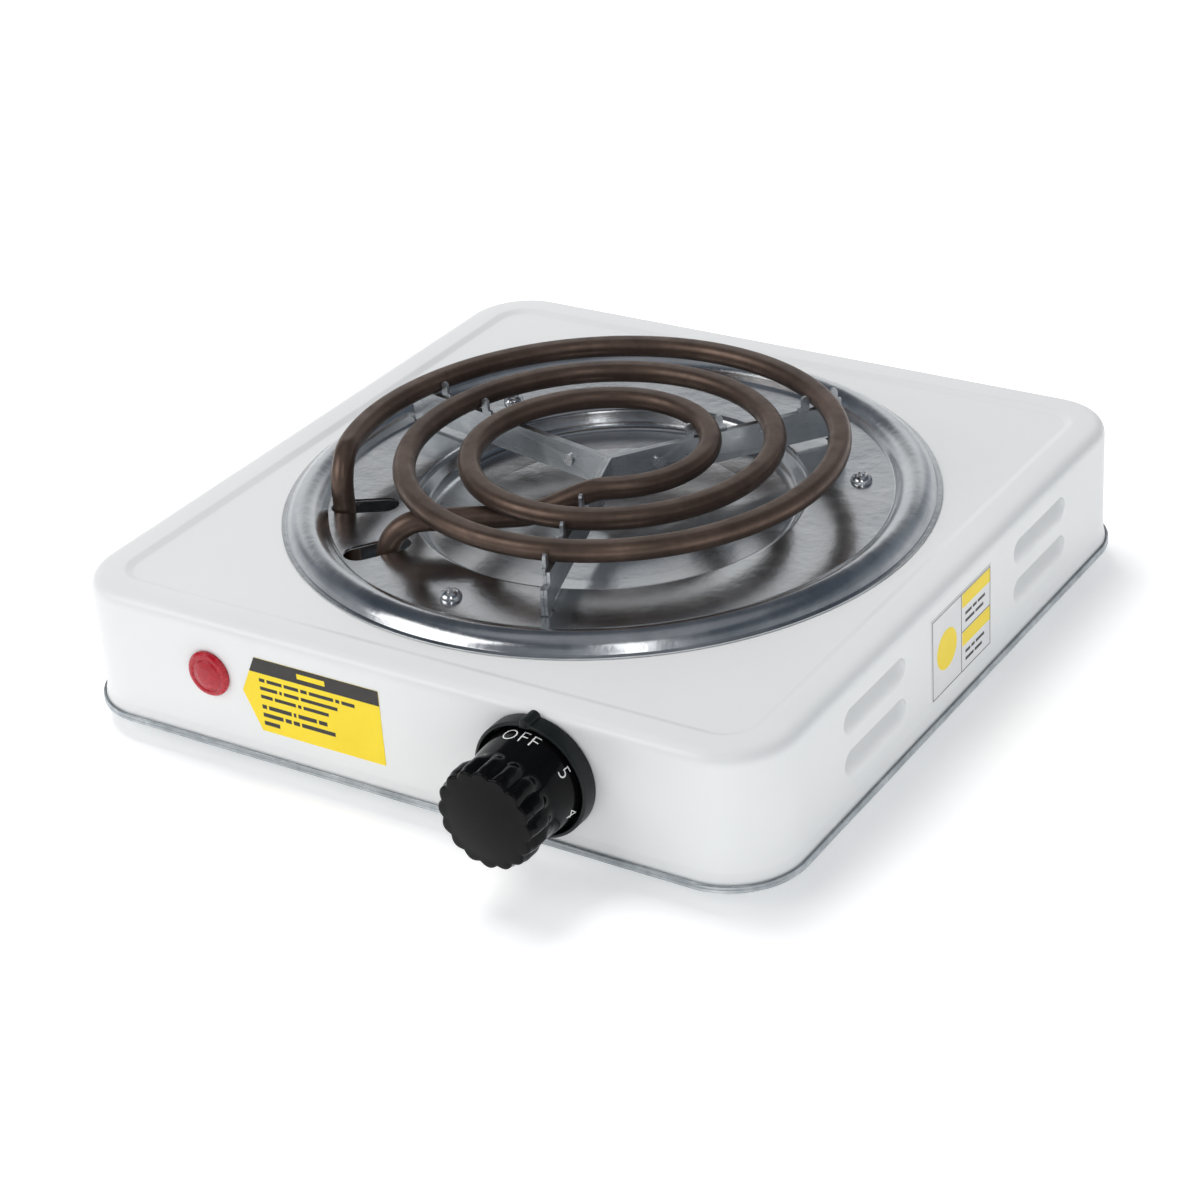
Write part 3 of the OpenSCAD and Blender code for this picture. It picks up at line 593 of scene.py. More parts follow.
def slot_cutters(grow, low, high):
    """Holes for the element's two legs and the feet of the spider's arms."""
    made = [prism(obround(21 + 2 * grow, 9.4 + 2 * grow), low, high, polar_place(a, LEG_SLOT_RADIUS))
            for a in LEG_ANGLES]
    made += [prism(rectangle(5 + 2 * grow, 3.2 + 2 * grow), low, high, polar_place(a, length - 4))
             for a, length in ARMS]
    return made


def side_place(side, y, z):
    """Local x along the side wall, y up and h out of the wall."""
    return lambda u, v, h: (side * (WALL_X + h), BODY_Y + y + side * u, BASE_Z + z + v)


LOUVRES = [(side, side * y, z) for side in (1, -1) for y in (-54, 54) for z in (16.2, 29.4)]


def build_housing():
    """Stamped shell: flared foot, raised border, lower panel, and its holes."""
    outer = fillet([(0.9, 6.87, 0), (0.9, 8.4, 0.3), (0.15, 11.6, 4), (0, 16, 4), (0, TOP_Z, 4.2),
                    (-10.2, TOP_Z, 3), (-12.6, PANEL_Z, 3), (-16, PANEL_Z, 0)], 7)
    inner = fillet([(-16, PANEL_Z - SHELL_SHEET, 0), (-12.9, PANEL_Z - SHELL_SHEET, 3),
                    (-10.5, TOP_Z - SHELL_SHEET, 3), (-0.8, TOP_Z - SHELL_SHEET, 3.4), (-0.8, 16, 4),
                    (-0.65, 11.9, 4), (0.1, 8.9, 0.3), (0.1, 6.87, 0)], 7)
    rings = [frame_ring(o, z) for o, z in outer]
    rings.append(circle_like(rings[-1], 64, PANEL_Z))
    below = [frame_ring(o, z) for o, z in inner]
    rings.append(circle_like(below[0], 64, PANEL_Z - SHELL_SHEET))
    obj = piece("housing_shell", *loft(rings + below, close_v=True), "white_paint", stands_for=["housing"])
    cutters = slot_cutters(1, PANEL_Z - 4, PANEL_Z + 4)
    cutters += [prism(obround(37, 8.4), -3, 3, side_place(*place)) for place in LOUVRES]
    lens_lo, lens_hi = box_mm("pilot_lens")
    gland_lo, gland_hi = box_mm("cord_gland")
    cutters.append(prism(round_outline(5.1), -3, 3, front_place(KNOB_X, KNOB_Z)))
    cutters.append(prism(round_outline(5.1), -3, 3,
                         front_place((lens_lo[0] + lens_hi[0]) / 2, (lens_lo[2] + lens_hi[2]) / 2)))
    gland_x, gland_z = (gland_lo[0] + gland_hi[0]) / 2, (gland_lo[2] + gland_hi[2]) / 2
    cutters.append(prism(round_outline(6.6), -3, 3, lambda x, y, h: (gland_x + x, REAR + h, gland_z + y)))
    cut(obj, cutters)


def build_louvres():
    """Pressed-in tongues: flush with the wall along the bottom, sunk and free along the top."""
    parts = []
    cols, rows = 49, 17
    half, r, deep, sheet = 18.5, 4.2, 3.1, 0.7
    us = np.sin(np.linspace(-math.pi / 2, math.pi / 2, cols)) * (half - 0.02)
    for place in LOUVRES:
        to_row = side_place(*place)
        front, back = [], []
        for u in us:
            over = max(0.0, abs(u) - (half - r))
            h = math.sqrt(max(r * r - over * over, 0.0))
            for k in range(rows + 3):
                v = min(k / (rows - 1), 1.0)
                tall = h * (2 * v - 1)
                sunk = deep * smoothstep((tall + h) / (2 * r)) ** 0.9
                extra = max(0, k - rows + 1) * 0.6 * (h / r)
                front.append(to_row(u, tall + extra, -sunk))
                back.append(to_row(u, tall + extra, -sunk - sheet))
        count = rows + 3
        n = cols * count
        faces = []
        for i in range(cols - 1):
            for k in range(count - 1):
                a, b = i * count + k, (i + 1) * count + k
                faces.append((a, b, b + 1, a + 1))
                faces.append((n + a, n + a + 1, n + b + 1, n + b))
        border = [i * count for i in range(cols)] + [(cols - 1) * count + k for k in range(1, count)]
        border += [i * count + count - 1 for i in range(cols - 2, -1, -1)] + list(range(count - 2, 0, -1))
        for a, b in zip(border, border[1:] + border[:1]):
            faces.append((b, a, n + a, n + b))
        parts.append((front + back, faces))
    piece("louvre_tongues", *joined(*parts), "white_paint", stands_for=["louvre_trays"])


def build_base():
    """Crimped hem with its groove, and the vented bottom sheet."""
    hem = fillet([(-0.75, BASE_Z + 0.8, 0), (0.95, BASE_Z + 0.8, 0), (0.98, 8.1, 0.3), (1.15, 8.62, 0.35),
                  (1.62, 8.6, 0.3), (1.86, 8.1, 0.4), (1.74, 7.62, 0.16), (1.9, 7.25, 0.25), (1.9, 6.45, 0.5),
                  (1.4, BASE_Z, 0.5), (-14, BASE_Z, 0)], 5)
    rings = []
    angle_noise = RNG.normal(size=(6, 2))
    for o, z in hem:
        ring = frame_ring(o, z)
        s = np.linspace(0, 2 * math.pi, len(ring), endpoint=False)
        uneven = sum(a * np.sin((5 + 7 * k) * s) + b * np.cos((5 + 7 * k) * s)
                     for k, (a, b) in enumerate(angle_noise)) / 6
        share = smoothstep((o - 0.9) / 0.9)
        normal = ring - frame_ring(o - 1, z)
        ring = ring + normal * (np.clip(uneven, -1, 0) * 0.22 * share)[:, None]
        ring[:, 2] += (np.clip(uneven, 0, 1) * 0.35 * share) * (z < 7)
        rings.append(ring)
    rings.append(circle_like(rings[-1], 8, BASE_Z))
    top = frame_ring(-14, BASE_Z + 0.8)
    rings.append(circle_like(top, 8, BASE_Z + 0.8))
    rings.append(top)
    verts, faces = loft(rings, close_v=True)
    faces = capped(faces, len(top), len(rings) - 3)
    obj = piece("base_pan", verts, faces, "zinc_sheet", stands_for=["base_plate"])

    def hole(outline, cx, cy):
        return prism(outline, BASE_Z - 2, BASE_Z + 2.4, lambda x, y, h: (cx + x, BODY_Y + cy + y, h))

    cutters = [hole(obround(52, 5), x, y) for x in (-45, 45) for y in range(-60, 61, 12)]
    cutters += [hole(round_outline(2.2, 24), x, y) for x in (-90, 90) for y in (-91, 91)]
    cutters += [hole(round_outline(1.6, 24), x, y) for x, y in ((86, 78), (64.5, 88))]
    cut(obj, cutters)


# ------------------------------------------------------------------ drip pan

def build_pan():
    """Pressed pan: ragged flange, rolled bead, flat ring, step and dish."""
    count = 256
    bead = [(93.2 + 6.6 * math.cos(a), -1.6 + 6.6 * math.sin(a))
            for a in np.radians(np.linspace(32, 148, 29))]
    top = [(101, 0.15, 0), (100.9, 0.6, 0.15), (99.5, 0.62, 0.5)]
    top += [(r, z, 0) for r, z in bead]
    top += [(86.7, 0.6, 0.9), (60.3, 0.6, 2.4), (57.2, -5.5, 4.5), (44, -6.0, 6), (8, -6.2, 0)]
    line = fillet(top, 7)
    profile = [(r, PANEL_Z + z) for r, z in line]
    under = [(r, PANEL_Z + z - PAN_SHEET) for r, z in line if r < 100.6]
    rings = lathe(profile, count, (0, BODY_Y)) + lathe(under[::-1], count, (0, BODY_Y))
    s = np.linspace(0, 2 * math.pi, count, endpoint=False)
    ragged = sum(RNG.normal() * np.sin(k * s + RNG.uniform(0, 6.28)) for k in (3, 7, 11, 17, 23)) / 5
    for ring in rings[:3]:
        out = np.stack([np.cos(s), np.sin(s), np.zeros(count)], 1)
        ring -= out * (np.clip(ragged, -1, 1) * 0.12 + 0.12)[:, None]
    verts, faces = loft(rings, close_v=True)
    faces = capped(faces, count, len(profile) - 1)
    obj = piece("drip_pan_sheet", verts, faces, "pan_steel", stands_for=["drip_pan"])
    cut(obj, slot_cutters(0, PANEL_Z - 4, PANEL_Z + 4))


def build_screws():
    """Pan-head screws with a cross recess, sunk into a polar grid."""
    parts = []
    turns, steps = 64, 22
    head_r, shank_r = 3.4, 1.5
    for k, angle in enumerate(SCREW_ANGLES):
        centre = np.array([SCREW_RADIUS * math.cos(math.radians(angle)),
                           BODY_Y + SCREW_RADIUS * math.sin(math.radians(angle))])
        spin = 0.4 + 0.9 * k
        rings = []
        for i in range(steps + 1):
            r = max(head_r * (1 - i / steps), 0.06)
            ring = []
            for j in range(turns):
                a = 2 * math.pi * j / turns
                dome = 2.35 * (1 - (r / head_r) ** 2.6) ** 0.55 if r < head_r else 0.0
                x, y = r * math.cos(a), r * math.sin(a)
                arm = min(abs(x), abs(y))
                far = max(abs(x), abs(y))
                recess = smoothstep((0.62 - arm) / 0.3) * smoothstep((2.1 - far) / 0.5)
                core = smoothstep((1.15 - r) / 0.5)
                z = dome - 0.95 * max(recess, core * 0.9) - 0.3 * core
                c, s = math.cos(spin), math.sin(spin)
                ring.append((centre[0] + x * c - y * s, centre[1] + x * s + y * c, PANEL_Z + 0.62 + z))
            rings.append(ring)
        skirt = [(px, py, PANEL_Z + 0.6) for px, py, _ in rings[0]]
        shank = []
        for z in (PANEL_Z + 0.6, PANEL_Z - 6.4):
            shank.append([(centre[0] + shank_r * math.cos(2 * math.pi * j / turns),
                           centre[1] + shank_r * math.sin(2 * math.pi * j / turns), z) for j in range(turns)])
        parts.append(loft([shank[1], shank[0], skirt] + rings, cap_start=True, cap_end=True))
    piece("pan_head_screws", *joined(*parts), "bright_steel", stands_for=["pan_screws"], degrees=50)


# ------------------------------------------------------------------ element

def coil_path():
    """Rows of (x, y, z, heading, pitch, flatness) from the outer leg's foot to the inner leg's."""
    rows = []
    foot = C_LO[2]
    head = COIL_A0 - 90
    for z in np.linspace(foot, COIL_Z - OUT_BEND, 12, endpoint=False):
        rows.append((*OUT_Q, z, head, -90, 0))
    for phi in np.linspace(90, 0, 15):
        along = OUT_BEND * (1 - math.sin(math.radians(phi)))
        drop = OUT_BEND * (1 - math.cos(math.radians(phi)))
        spot = OUT_Q + along * unit(head)
        rows.append((*spot, COIL_Z - drop, head, -phi, 0))
    for i in range(ARCS):
        c, r = arc_centre(i), arc_radius(i)
        first = COIL_A0 - 90 * i
        last = LEG_A if i == ARCS - 1 else first - 90
        steps = max(8, int(abs(first - last) * math.radians(1) * r / 1.6))
        for a in np.linspace(first, last, steps, endpoint=False)[1 if i == 0 else 0:]:
            flat = 1.0
            if i == 0:
                flat = smoothstep((first - a) / 28)
            if i == ARCS - 1:
                flat = 1 - smoothstep((20 - (a - last)) / 16)
            rows.append((*(c + r * unit(a)), COIL_Z, a - 90, 0, flat))
    for x in np.linspace(0, LEG_RUN, 46):
        s = (x - 2) / 27
        z = COIL_Z - LEG_DROP * float(smoothstep(s))
        slope = LEG_DROP * 6 * s * (1 - s) / 27 if 0 < s < 1 else 0
        rows.append((*(LEG_P + x * unit(LEG_HEAD)), z, LEG_HEAD, math.degrees(math.atan(slope)), 0))
    for phi in np.linspace(0, 90, 15)[1:]:
        a = math.radians(phi)
        spot = LEG_P + (LEG_RUN + LEG_BEND * math.sin(a)) * unit(LEG_HEAD)
        rows.append((*spot, COIL_Z - LEG_DROP - LEG_BEND * (1 - math.cos(a)), LEG_HEAD, phi, 0))
    low = rows[-1][2]
    for z in np.linspace(low, foot, 12)[1:]:
        rows.append((*LEG_Q, z, LEG_HEAD, 90, 0))
    return rows


def build_coil():
    """The tube, with the tops of its turns pressed flat."""
    sides = 32
    angles = np.linspace(0, 2 * math.pi, sides, endpoint=False)
    rings = []
    for x, y, z, head, pitch, flat in coil_path():
        h, q = math.radians(head), math.radians(pitch)
        side = np.array([-math.sin(h), math.cos(h), 0])
        up = np.array([math.cos(h) * math.sin(q), math.sin(h) * math.sin(q), math.cos(q)])
        across = TUBE * np.cos(angles) * (1 + 0.012 * flat)
        tall = TUBE * np.sin(angles)
        over = np.clip(tall - (FLAT_TOP - 0.5), 0, None)
        pressed = np.where(over > 0, FLAT_TOP - 0.5 + 0.5 * (1 - np.exp(-over / 0.35)), tall)
        pressed = np.minimum(pressed, FLAT_TOP)
        tall = tall + (pressed - tall) * flat
        centre = np.array([x, y + BODY_Y, z])
        ring = centre + np.outer(across, side) + np.outer(tall, up)
        ring[:, 2] = np.minimum(ring[:, 2], COIL_Z + FLAT_TOP)
        rings.append(ring)
    piece("heating_tube", *loft(rings, cap_start=True, cap_end=True), "sheath",
          stands_for=["coil_element"], degrees=60)


# ------------------------------------------------------------------ knob

FLUTES = 16
PER_FLUTE = 14


def skirt_radius(h):
    """The skirt is a cone that narrows away from the wall."""
    return 16 - 1.5 * (h - 3.4) / 11.6


def at_knob(x, y, h):
    return (KNOB_X + x, FRONT - h, KNOB_Z + y)


def grip_radius(h, a):
    """Conical skirt, then rounded ribs that swell out of it and close over the face."""
    skirt = skirt_radius(h)
    core = skirt + (14.0 - skirt) * smoothstep((h - 14.5) / 7)
    rib = np.abs(np.cos(FLUTES * a / 2)) ** 1.15
    swell = smoothstep((h - 15.5) / 5.5) * (1 - 0.3 * smoothstep((h - 24.5) / 2.6))
    return core + (15.5 - core) * rib * swell


def build_knob():
    """Hollow moulded knob with a hub for the spindle."""
    reach = FRONT - K_LO[1]
    count = FLUTES * PER_FLUTE
    a = np.linspace(0, 2 * math.pi, count, endpoint=False)
    rings = []

    def ring(radius, h):
        x, y = radius * np.cos(a), radius * np.sin(a)
        rings.append(np.stack([KNOB_X + x, np.full(count, FRONT - h), KNOB_Z + y], 1))

    for r, h in fillet([(14.4, 1.8, 0), (16, 1.8, 0.35), (16, 3.4, 0.5), (15.5, 6.3, 0)], 4)[:-1]:
        ring(np.full(count, r), h)
    for h in np.linspace(4.2, reach - 1.9, 44):
        ring(grip_radius(h, a), h)
    edge = grip_radius(reach - 1.9, a)
    for k in range(1, 7):
        q = math.radians(90 * k / 6)
        ring(edge - 1.1 * (1 - math.cos(q)), reach - 1.9 + 0.75 * math.sin(q))
    for r in (11.9, 11.2, 10, 8, 6, 4, 2, 0.5):
        ring(np.full(count, r), reach - 0.05 - 1.0 * (r / 12.1) ** 2)
    crown = len(rings)
    for r, h in ((0.5, reach - 3.2), (11, reach - 3.6), (11.2, 18), (12.5, 14.4), (14.3, 3.4)):
        ring(np.full(count, r), h)
    verts, faces = loft(rings, close_v=True)
    faces = capped(faces, count, crown - 1)
    piece("control_knob", verts, faces, "black_gloss", "control_knob", ["knob"], 38)
    few = a[::PER_FLUTE]
    hub = [np.stack([KNOB_X + r * np.cos(few), np.full(FLUTES, FRONT - h), KNOB_Z + r * np.sin(few)], 1)
           for r, h in ((5.6, 6), (5.6, reach - 3.5), (3.1, reach - 3.5), (3.1, 6))]
    piece("knob_hub", *loft(hub, close_v=True), "black_satin", "control_knob")


NUMERAL_SIZE = 6.2
NUMERALS = (("OFF", 0), ("5", -60), ("4", -108), ("3", -158), ("2", -208), ("1", -258))


def skirt_text(words, angle):
    """Numbers and OFF printed round the skirt, tops towards the wall."""
    curve = bpy.data.curves.new("dial_" + words, "FONT")
    curve.body = words
    curve.size = NUMERAL_SIZE
    curve.align_x = "CENTER"
    curve.align_y = "CENTER"
    curve.extrude = 0.03
    curve.offset = -0.11
    curve.resolution_u = 4
    curve.space_character = 1.12
    holder = bpy.data.objects.new("dial_" + words, curve)
    bpy.context.scene.collection.objects.link(holder)
    bpy.context.view_layer.update()
    graph = bpy.context.evaluated_depsgraph_get()
    mesh = bpy.data.meshes.new_from_object(holder.evaluated_get(graph))
    bpy.data.objects.remove(holder)
    bm = bmesh.new()
    bm.from_mesh(mesh)
    bmesh.ops.triangulate(bm, faces=bm.faces)
    bmesh.ops.subdivide_edges(bm, edges=[e for e in bm.edges if e.calc_length() > 0.8], cuts=1)
    for v in bm.verts:
        h = 8.2 - v.co.y
        r = skirt_radius(h) + 0.035 + v.co.z
        a = math.radians(90 + angle) - v.co.x / 15.1
        v.co = Vector(at_knob(r * math.cos(a), r * math.sin(a), h)) * MM
    bm.to_mesh(mesh)
    bm.free()
    mesh.materials.clear()
    mesh.materials.append(MATS["white_ink"])
    return mesh


def build_numerals():
    """All the printed marks as one piece, riding with the knob."""
    bm = bmesh.new()
    for words, angle in NUMERALS:
        bm.from_mesh(skirt_text(words, angle))
    mesh = bpy.data.meshes.new("dial_numerals")
    bm.to_mesh(mesh)
    bm.free()
    mesh.materials.append(MATS["white_ink"])
    obj = bpy.data.objects.new("dial_numerals", mesh)
    bpy.context.scene.collection.objects.link(obj)
    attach(obj, "control_knob")
    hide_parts("knob_numerals")


def build_bezel():
    """Round cup with the index tab at its top."""
    count = 160
    profile = fillet([(5.2, 0.02, 0), (17.3, 0.02, 0.3), (17.9, 0.5, 0.4), (17.9, 5.5, 0.5), (17.3, 6, 0.45),
                      (16.8, 5.9, 0.35), (16.6, 1.4, 0.5), (14, 1.25, 0), (5.2, 1.25, 0)], 5)
    a = np.linspace(0, 2 * math.pi, count, endpoint=False)
    rings = [np.stack([KNOB_X + r * np.cos(a), np.full(count, FRONT - h), KNOB_Z + r * np.sin(a)], 1)
             for r, h in profile]
    ring = loft(rings, close_v=True)
    tab_rings = []
    for h, grow in ((0.05, -0.3), (0.35, 0.0), (5.6, 0.0), (6.0, -0.15), (6.35, -0.6)):
        outline = []
        for q in np.linspace(0, math.pi, 17):
            outline.append(((1.75 + grow) * math.cos(q), 17.6 + (1.8 + grow) * math.sin(q) ** 0.8))
        outline += [(-1.75 - grow, 16.9), (1.75 + grow, 16.9)]
        tab_rings.append([at_knob(x, y, h) for x, y in outline])
    tab = loft(tab_rings, cap_start=True, cap_end=True)
    piece("bezel_cup", *joined(ring, tab), "black_satin", stands_for=["knob_bezel"], degrees=40)


# ------------------------------------------------------------------ lamp and labels

def build_lens():
    """Stepped lens with a raised ring, hollow inside for the lamp."""
    count = 96
    lo, hi = box_mm("pilot_lens")
    x0, z0 = (lo[0] + hi[0]) / 2, (lo[2] + hi[2]) / 2
    tall = FRONT - lo[1]
    profile = fillet([(4.05, -8.9, 0), (4.95, -8.9, 0.1), (4.95, 0.06, 0), (7.15, 0.06, 0.1),
                      (7.15, 1.0, 0.35), (6.5, 1.75, 0.4), (5.6, 1.9, 0.3), (5.0, 1.6, 0.3), (4.4, 2.0, 0.3),
                      (2.6, tall - 0.25, 1.2), (0.4, tall - 0.1, 0)], 5)
    inside = [(0.4, tall - 1.2), (4.0, 0.9), (4.05, -8.9 + 0.01)]
    a = np.linspace(0, 2 * math.pi, count, endpoint=False)
    rings = [np.stack([x0 + r * np.cos(a), np.full(count, FRONT - h), z0 + r * np.sin(a)], 1)
             for r, h in list(profile) + inside]
    verts, faces = loft(rings, close_v=True)
    faces = capped(faces, count, len(profile) - 1)
    piece("lamp_lens", verts, faces, "red_lens", stands_for=["pilot_lens"], degrees=40)


def bar_rows(rows, x0, pitch, tall, top):
    """Plain bars that stand in for lines of small print."""
    out = []
    for k, words in enumerate(rows):
        x, y = x0, top - k * pitch
        for width in words:
            out.append([(x, y - tall), (x + width, y - tall), (x + width, y), (x, y)])
            x += width + 0.75
    return out


# material indices of a label's printed areas
INK, YELLOW = 1, 2


def label(name, node_name, outline, layers, place, slot_name):
    """A film with printed areas: each layer is (material index, outlines)."""
    parts, index = [prism(outline, 0.02, 0.14, place)], [0]
    for material, shapes in layers:
        for shape in shapes:
            parts.append(prism(shape, 0.142, 0.165, place))
            index.append(material)
    verts, faces = joined(*parts)
    obj = piece(name, verts, faces, slot_name, stands_for=[node_name], extra=("black_ink", "yellow_film"))
    owner = np.repeat(index, [len(f) for _, f in parts])
    obj.data.polygons.foreach_set("material_index", owner.astype(np.int32))


def build_front_label():
    """Yellow film with a pointed left end, a dark header and plain bars."""
    lo, hi = box_mm("front_label")
    w, h = hi[0] - lo[0], hi[2] - lo[2]
    place = lambda x, y, out: (lo[0] + x, FRONT - out, lo[2] + y)
    tip = w * 0.113
    outline = [(tip, h), (0.0, h * 0.5), (tip, 0), (w, 0), (w, h)]
    cut_x = tip * (1 - (h * 0.2) / (h * 0.5))
    header = [(tip, h), (cut_x, h * 0.8), (w, h * 0.8), (w, h)]
    rows = [[2.0, 5.4, 5.2, 2.3, 8.6, 1.4, 4.6], [6.2, 0.9, 5.3, 13.0], [4.2, 7.6, 1.2, 9.0],
            [1.6, 8.2, 0.9, 6.6, 3.0], [7.2, 2.2, 2.2, 12.0], [5.6]]
    bars = bar_rows(rows[:3], tip + 1.0, 2.75, 1.15, h * 0.73)
    bars += bar_rows(rows[3:], tip + 1.0, 2.75, 1.35, h * 0.37)
    label("front_film", "front_label", outline, [(INK, [header] + bars)], place, "yellow_film")
    mark = [(w * 0.42, h * 0.865), (w * 0.62, h * 0.865), (w * 0.62, h * 0.935), (w * 0.42, h * 0.935)]
    piece("front_film_mark", *prism(mark, 0.166, 0.17, place), "yellow_film")


def build_side_label():
    """White film with a thin frame, a yellow disc and two bands over plain bars."""
    lo, hi = box_mm("side_label")
    w, h = hi[1] - lo[1], hi[2] - lo[2]
    place = lambda x, y, out: (WALL_X + out, lo[1] + x, lo[2] + y)
    t = 0.28
    frame_lines = [[(x0, y0), (x1, y0), (x1, y1), (x0, y1)] for x0, y0, x1, y1 in (
        (0.5, 0.5, w - 0.5, 0.5 + t), (0.5, h - 0.5 - t, w - 0.5, h - 0.5), (0.5, 0.5, 0.5 + t, h - 0.5),
        (w - 0.5 - t, 0.5, w - 0.5, h - 0.5), (w * 0.49, 0.5, w * 0.49 + t, h - 0.5),
        (w * 0.49, h * 0.5, w - 0.5, h * 0.5 + t))]
    bands = [[(w * 0.5 + t, y), (w - 0.8, y), (w - 0.8, y + h * 0.17), (w * 0.5 + t, y + h * 0.17)]
             for y in (h * 0.795, h * 0.325)]
    disc = [(w * 0.25 + 6.4 * math.cos(q), h * 0.5 + 6.4 * math.sin(q))
            for q in np.linspace(0, 2 * math.pi, 40, endpoint=False)]
    print_rows = bar_rows([[4.2, 2.6, 4.8], [6.0, 5.2]], w * 0.56, 2.5, 1.0, h * 0.72)
    print_rows += bar_rows([[3.2, 2.2, 5.6], [5.4, 4.8]], w * 0.56, 2.5, 1.0, h * 0.25)
    label("side_film", "side_label", [(0, 0), (w, 0), (w, h), (0, h)],
          [(YELLOW, bands + [disc]), (INK, frame_lines + print_rows)], place, "white_film")


# ------------------------------------------------------------------ build

build_housing()
build_louvres()
build_base()
build_pan()
build_screws()
build_coil()
build_knob()
build_numerals()
build_bezel()
build_lens()
build_front_label()
build_side_label()

for name in ("spider_strip_front_left", "spider_strip_front_right", "spider_strip_rear", "rubber_feet",
             "cord_gland", "foot_screws", "terminal_block", "corner_posts"):
    bevel = NODES[name].modifiers.new("soft_edge", "BEVEL")
    bevel.width = 0.00018 if name.startswith("spider") else 0.0004
    bevel.segments = 2
    bevel.limit_method = "ANGLE"
    bevel.angle_limit = math.radians(50)
    for polygon in NODES[name].data.polygons:
        polygon.use_smooth = False


# ------------------------------------------------------------------ stage

def floor():
    """A wide pale floor just under the feet."""
    size = 6000
    steps = 24
    line = np.linspace(-size, size, steps)
    verts = [(x, y, -0.02) for y in line for x in line]
    faces = [(r * steps + c, r * steps + c + 1, (r + 1) * steps + c + 1, (r + 1) * steps + c)
             for r in range(steps - 1) for c in range(steps - 1)]
    obj = raw_object("floor", verts, faces)
    mat, tree, shader = new_material("pale_floor")
    where = coords(tree)
    patch = noise(tree, where, 0.004, 3)
    tree.links.new(ramp(tree, patch, [(0.3, (0.93, 0.93, 0.93)), (0.7, (0.945, 0.945, 0.945))]),
                   shader.inputs["Base Color"])
    shader.inputs["Roughness"].default_value = 0.9
    shader.inputs["Specular IOR Level"].default_value = 0.1
    shader.inputs["Emission Color"].default_value = (1, 1, 1, 1)
    shader.inputs["Emission Strength"].default_value = 0.4
    obj.data.materials.append(mat)


floor()
scene = bpy.context.scene
scene.view_settings.view_transform = "Standard"


def studio():
    """Soft surroundings: pale low down, dark overhead, and a banded window that the pan mirrors."""
    world = bpy.data.worlds.new("studio")
    scene.world = world
    world.use_nodes = True
    tree = world.node_tree
    sky = tree.nodes["Background"]
    tex = tree.nodes.new("ShaderNodeTexCoord")
    split = tree.nodes.new("ShaderNodeSeparateXYZ")
    tree.links.new(tex.outputs["Generated"], split.inputs["Vector"])
    height = split.outputs["Z"]
    low = ramp(tree, height, [(0.0, (0.86, 0.88, 0.90)), (0.22, (0.66, 0.69, 0.73)), (0.42, (0.50, 0.53, 0.57)),
                              (0.58, (0.34, 0.37, 0.41)), (0.70, (0.06, 0.075, 0.095)),
                              (0.86, (0.05, 0.065, 0.085)), (0.93, (0.75, 0.77, 0.80)),
                              (1.0, (0.85, 0.86, 0.88))])
    toward = node(tree, "ShaderNodeVectorMath", operation="DOT_PRODUCT")
    toward.inputs[1].default_value = (-0.56, 0.72, 0.41)
    tree.links.new(tex.outputs["Generated"], toward.inputs[0])
    window = spread(tree, toward.outputs["Value"], 0.0, 1.0, 0.82, 0.93)
    band = ramp(tree, height, [(0.0, (0.92, 0.94, 0.96)), (0.30, (0.90, 0.92, 0.94)), (0.452, (1.0, 1.0, 1.0)),
                               (0.485, (0.45, 0.47, 0.50)), (0.53, (0.12, 0.13, 0.15)),
                               (0.75, (0.07, 0.08, 0.10)), (0.9, (0.5, 0.5, 0.52))])
    dim = mixed(tree, 0.55, low, (0.10, 0.12, 0.15))
    above = spread(tree, height, 0.0, 1.0, 0.16, 0.34)
    base = mixed(tree, above, low, dim)
    patch = noise(tree, tex.outputs["Generated"], 1.7, 1)
    blotch = spread(tree, patch, 0.0, 1.0, 0.42, 0.58)
    base = mixed(tree, blotch, mixed(tree, 0.45, base, (0.07, 0.08, 0.10)), base)
    tree.links.new(mixed(tree, window, base, band), sky.inputs["Color"])
    sky.inputs["Strength"].default_value = 0.8


studio()


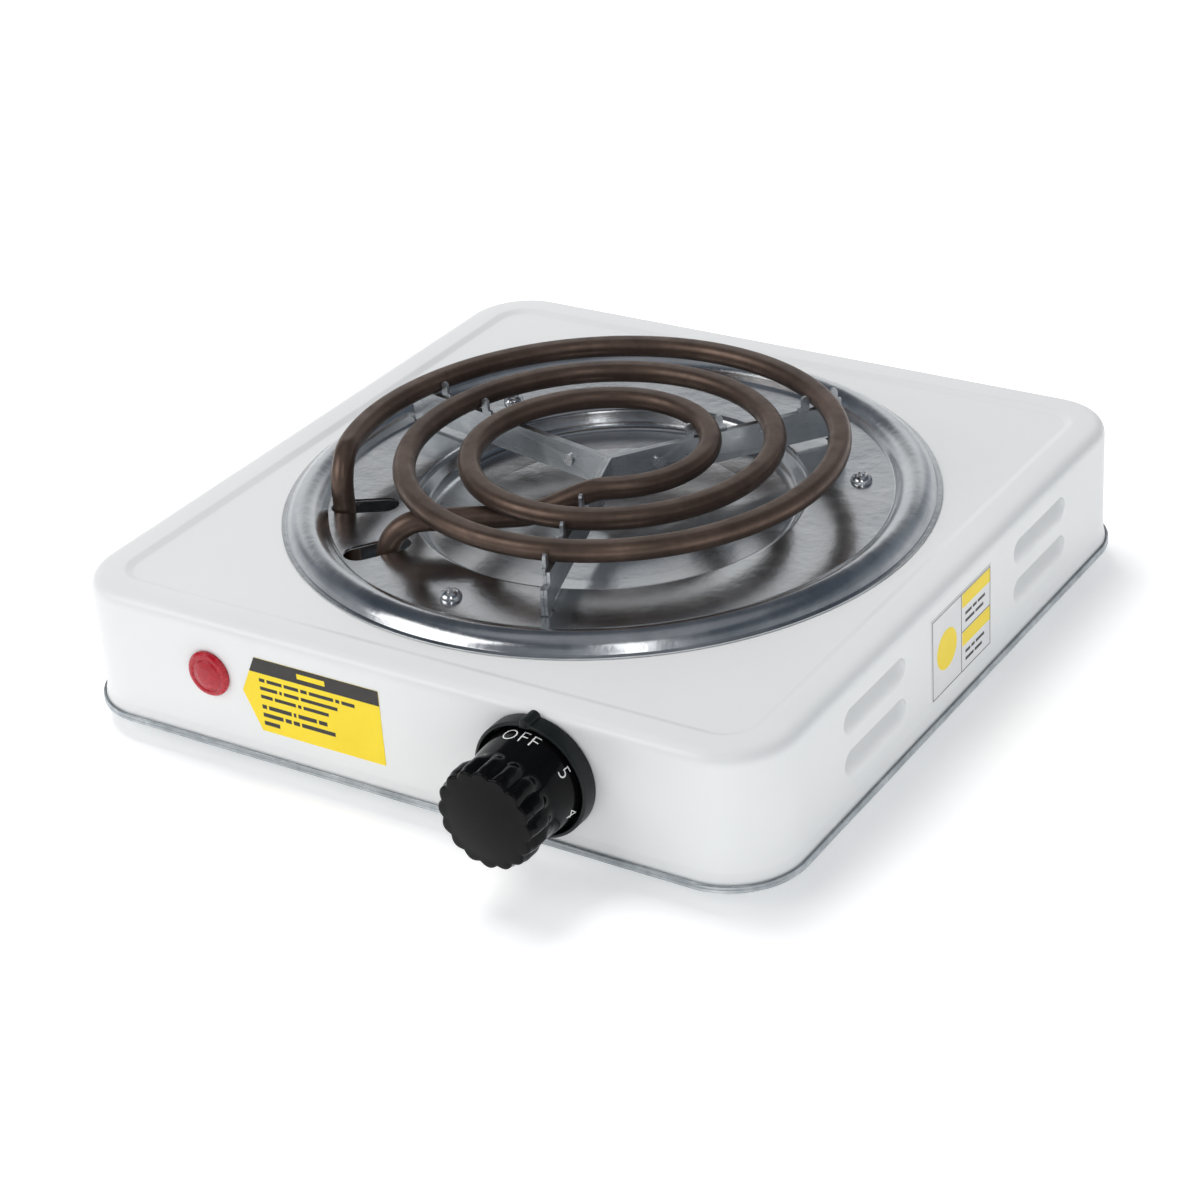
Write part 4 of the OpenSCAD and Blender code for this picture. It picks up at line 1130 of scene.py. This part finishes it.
def softbox(name, place, aim, size, power, colour=(1, 1, 1), mirrored=True):
    """A soft rectangular lamp; one that isn't mirrored leaves no reflection of itself."""
    light = bpy.data.lights.new(name, "AREA")
    light.shape = "RECTANGLE"
    light.size, light.size_y = size
    light.energy = power
    light.color = colour
    obj = bpy.data.objects.new(name, light)
    scene.collection.objects.link(obj)
    obj.location = place
    obj.visible_glossy = mirrored
    obj.rotation_euler = (Vector(aim) - Vector(place)).to_track_quat("-Z", "Y").to_euler()


WARM = (1.0, 0.985, 0.97)
COOL = (0.99, 0.99, 1.0)
softbox("key", (-1.0, -1.3, 1.1), (0, 0, 0.03), (1.3, 1.1), 9.8, WARM)
softbox("top", (-0.7, 0.3, 1.8), (-0.05, 0, 0.03), (1.0, 1.0), 22, WARM, False)
softbox("back", (-0.6, 1.5, 0.9), (0, 0, 0.05), (1.6, 0.7), 3.5, COOL, False)
softbox("rim", (1.0, -1.3, 1.5), (0, -0.05, 0.05), (0.22, 1.3), 3.5)
softbox("right", (1.3, -1.0, 0.5), (0.1, -0.1, 0.03), (0.8, 0.6), 4, COOL, False)


def camera():
    """The view of the photograph: turned, raised and rolled about a point on the object."""
    az, el, roll = math.radians(33.9585), math.radians(28.8772), math.radians(-4.1532)
    target = np.array([22.154, -32.115, 37.305]) * MM
    distance = 853.57 * MM
    back = np.array([math.sin(az) * math.cos(el), -math.cos(az) * math.cos(el), math.sin(el)])
    across = np.cross(-back, [0, 0, 1])
    across /= np.linalg.norm(across)
    above = np.cross(across, -back)
    x = math.cos(roll) * across + math.sin(roll) * above
    y = -math.sin(roll) * across + math.cos(roll) * above
    data = bpy.data.cameras.new("camera")
    data.sensor_width = 36
    data.lens = 2910.727 / 1200 * 36
    data.clip_start, data.clip_end = 0.01, 50
    obj = bpy.data.objects.new("camera", data)
    scene.collection.objects.link(obj)
    where = target + back * distance
    obj.matrix_world = Matrix([[x[0], y[0], back[0], where[0]], [x[1], y[1], back[1], where[1]],
                               [x[2], y[2], back[2], where[2]], [0, 0, 0, 1]])
    scene.camera = obj


camera()
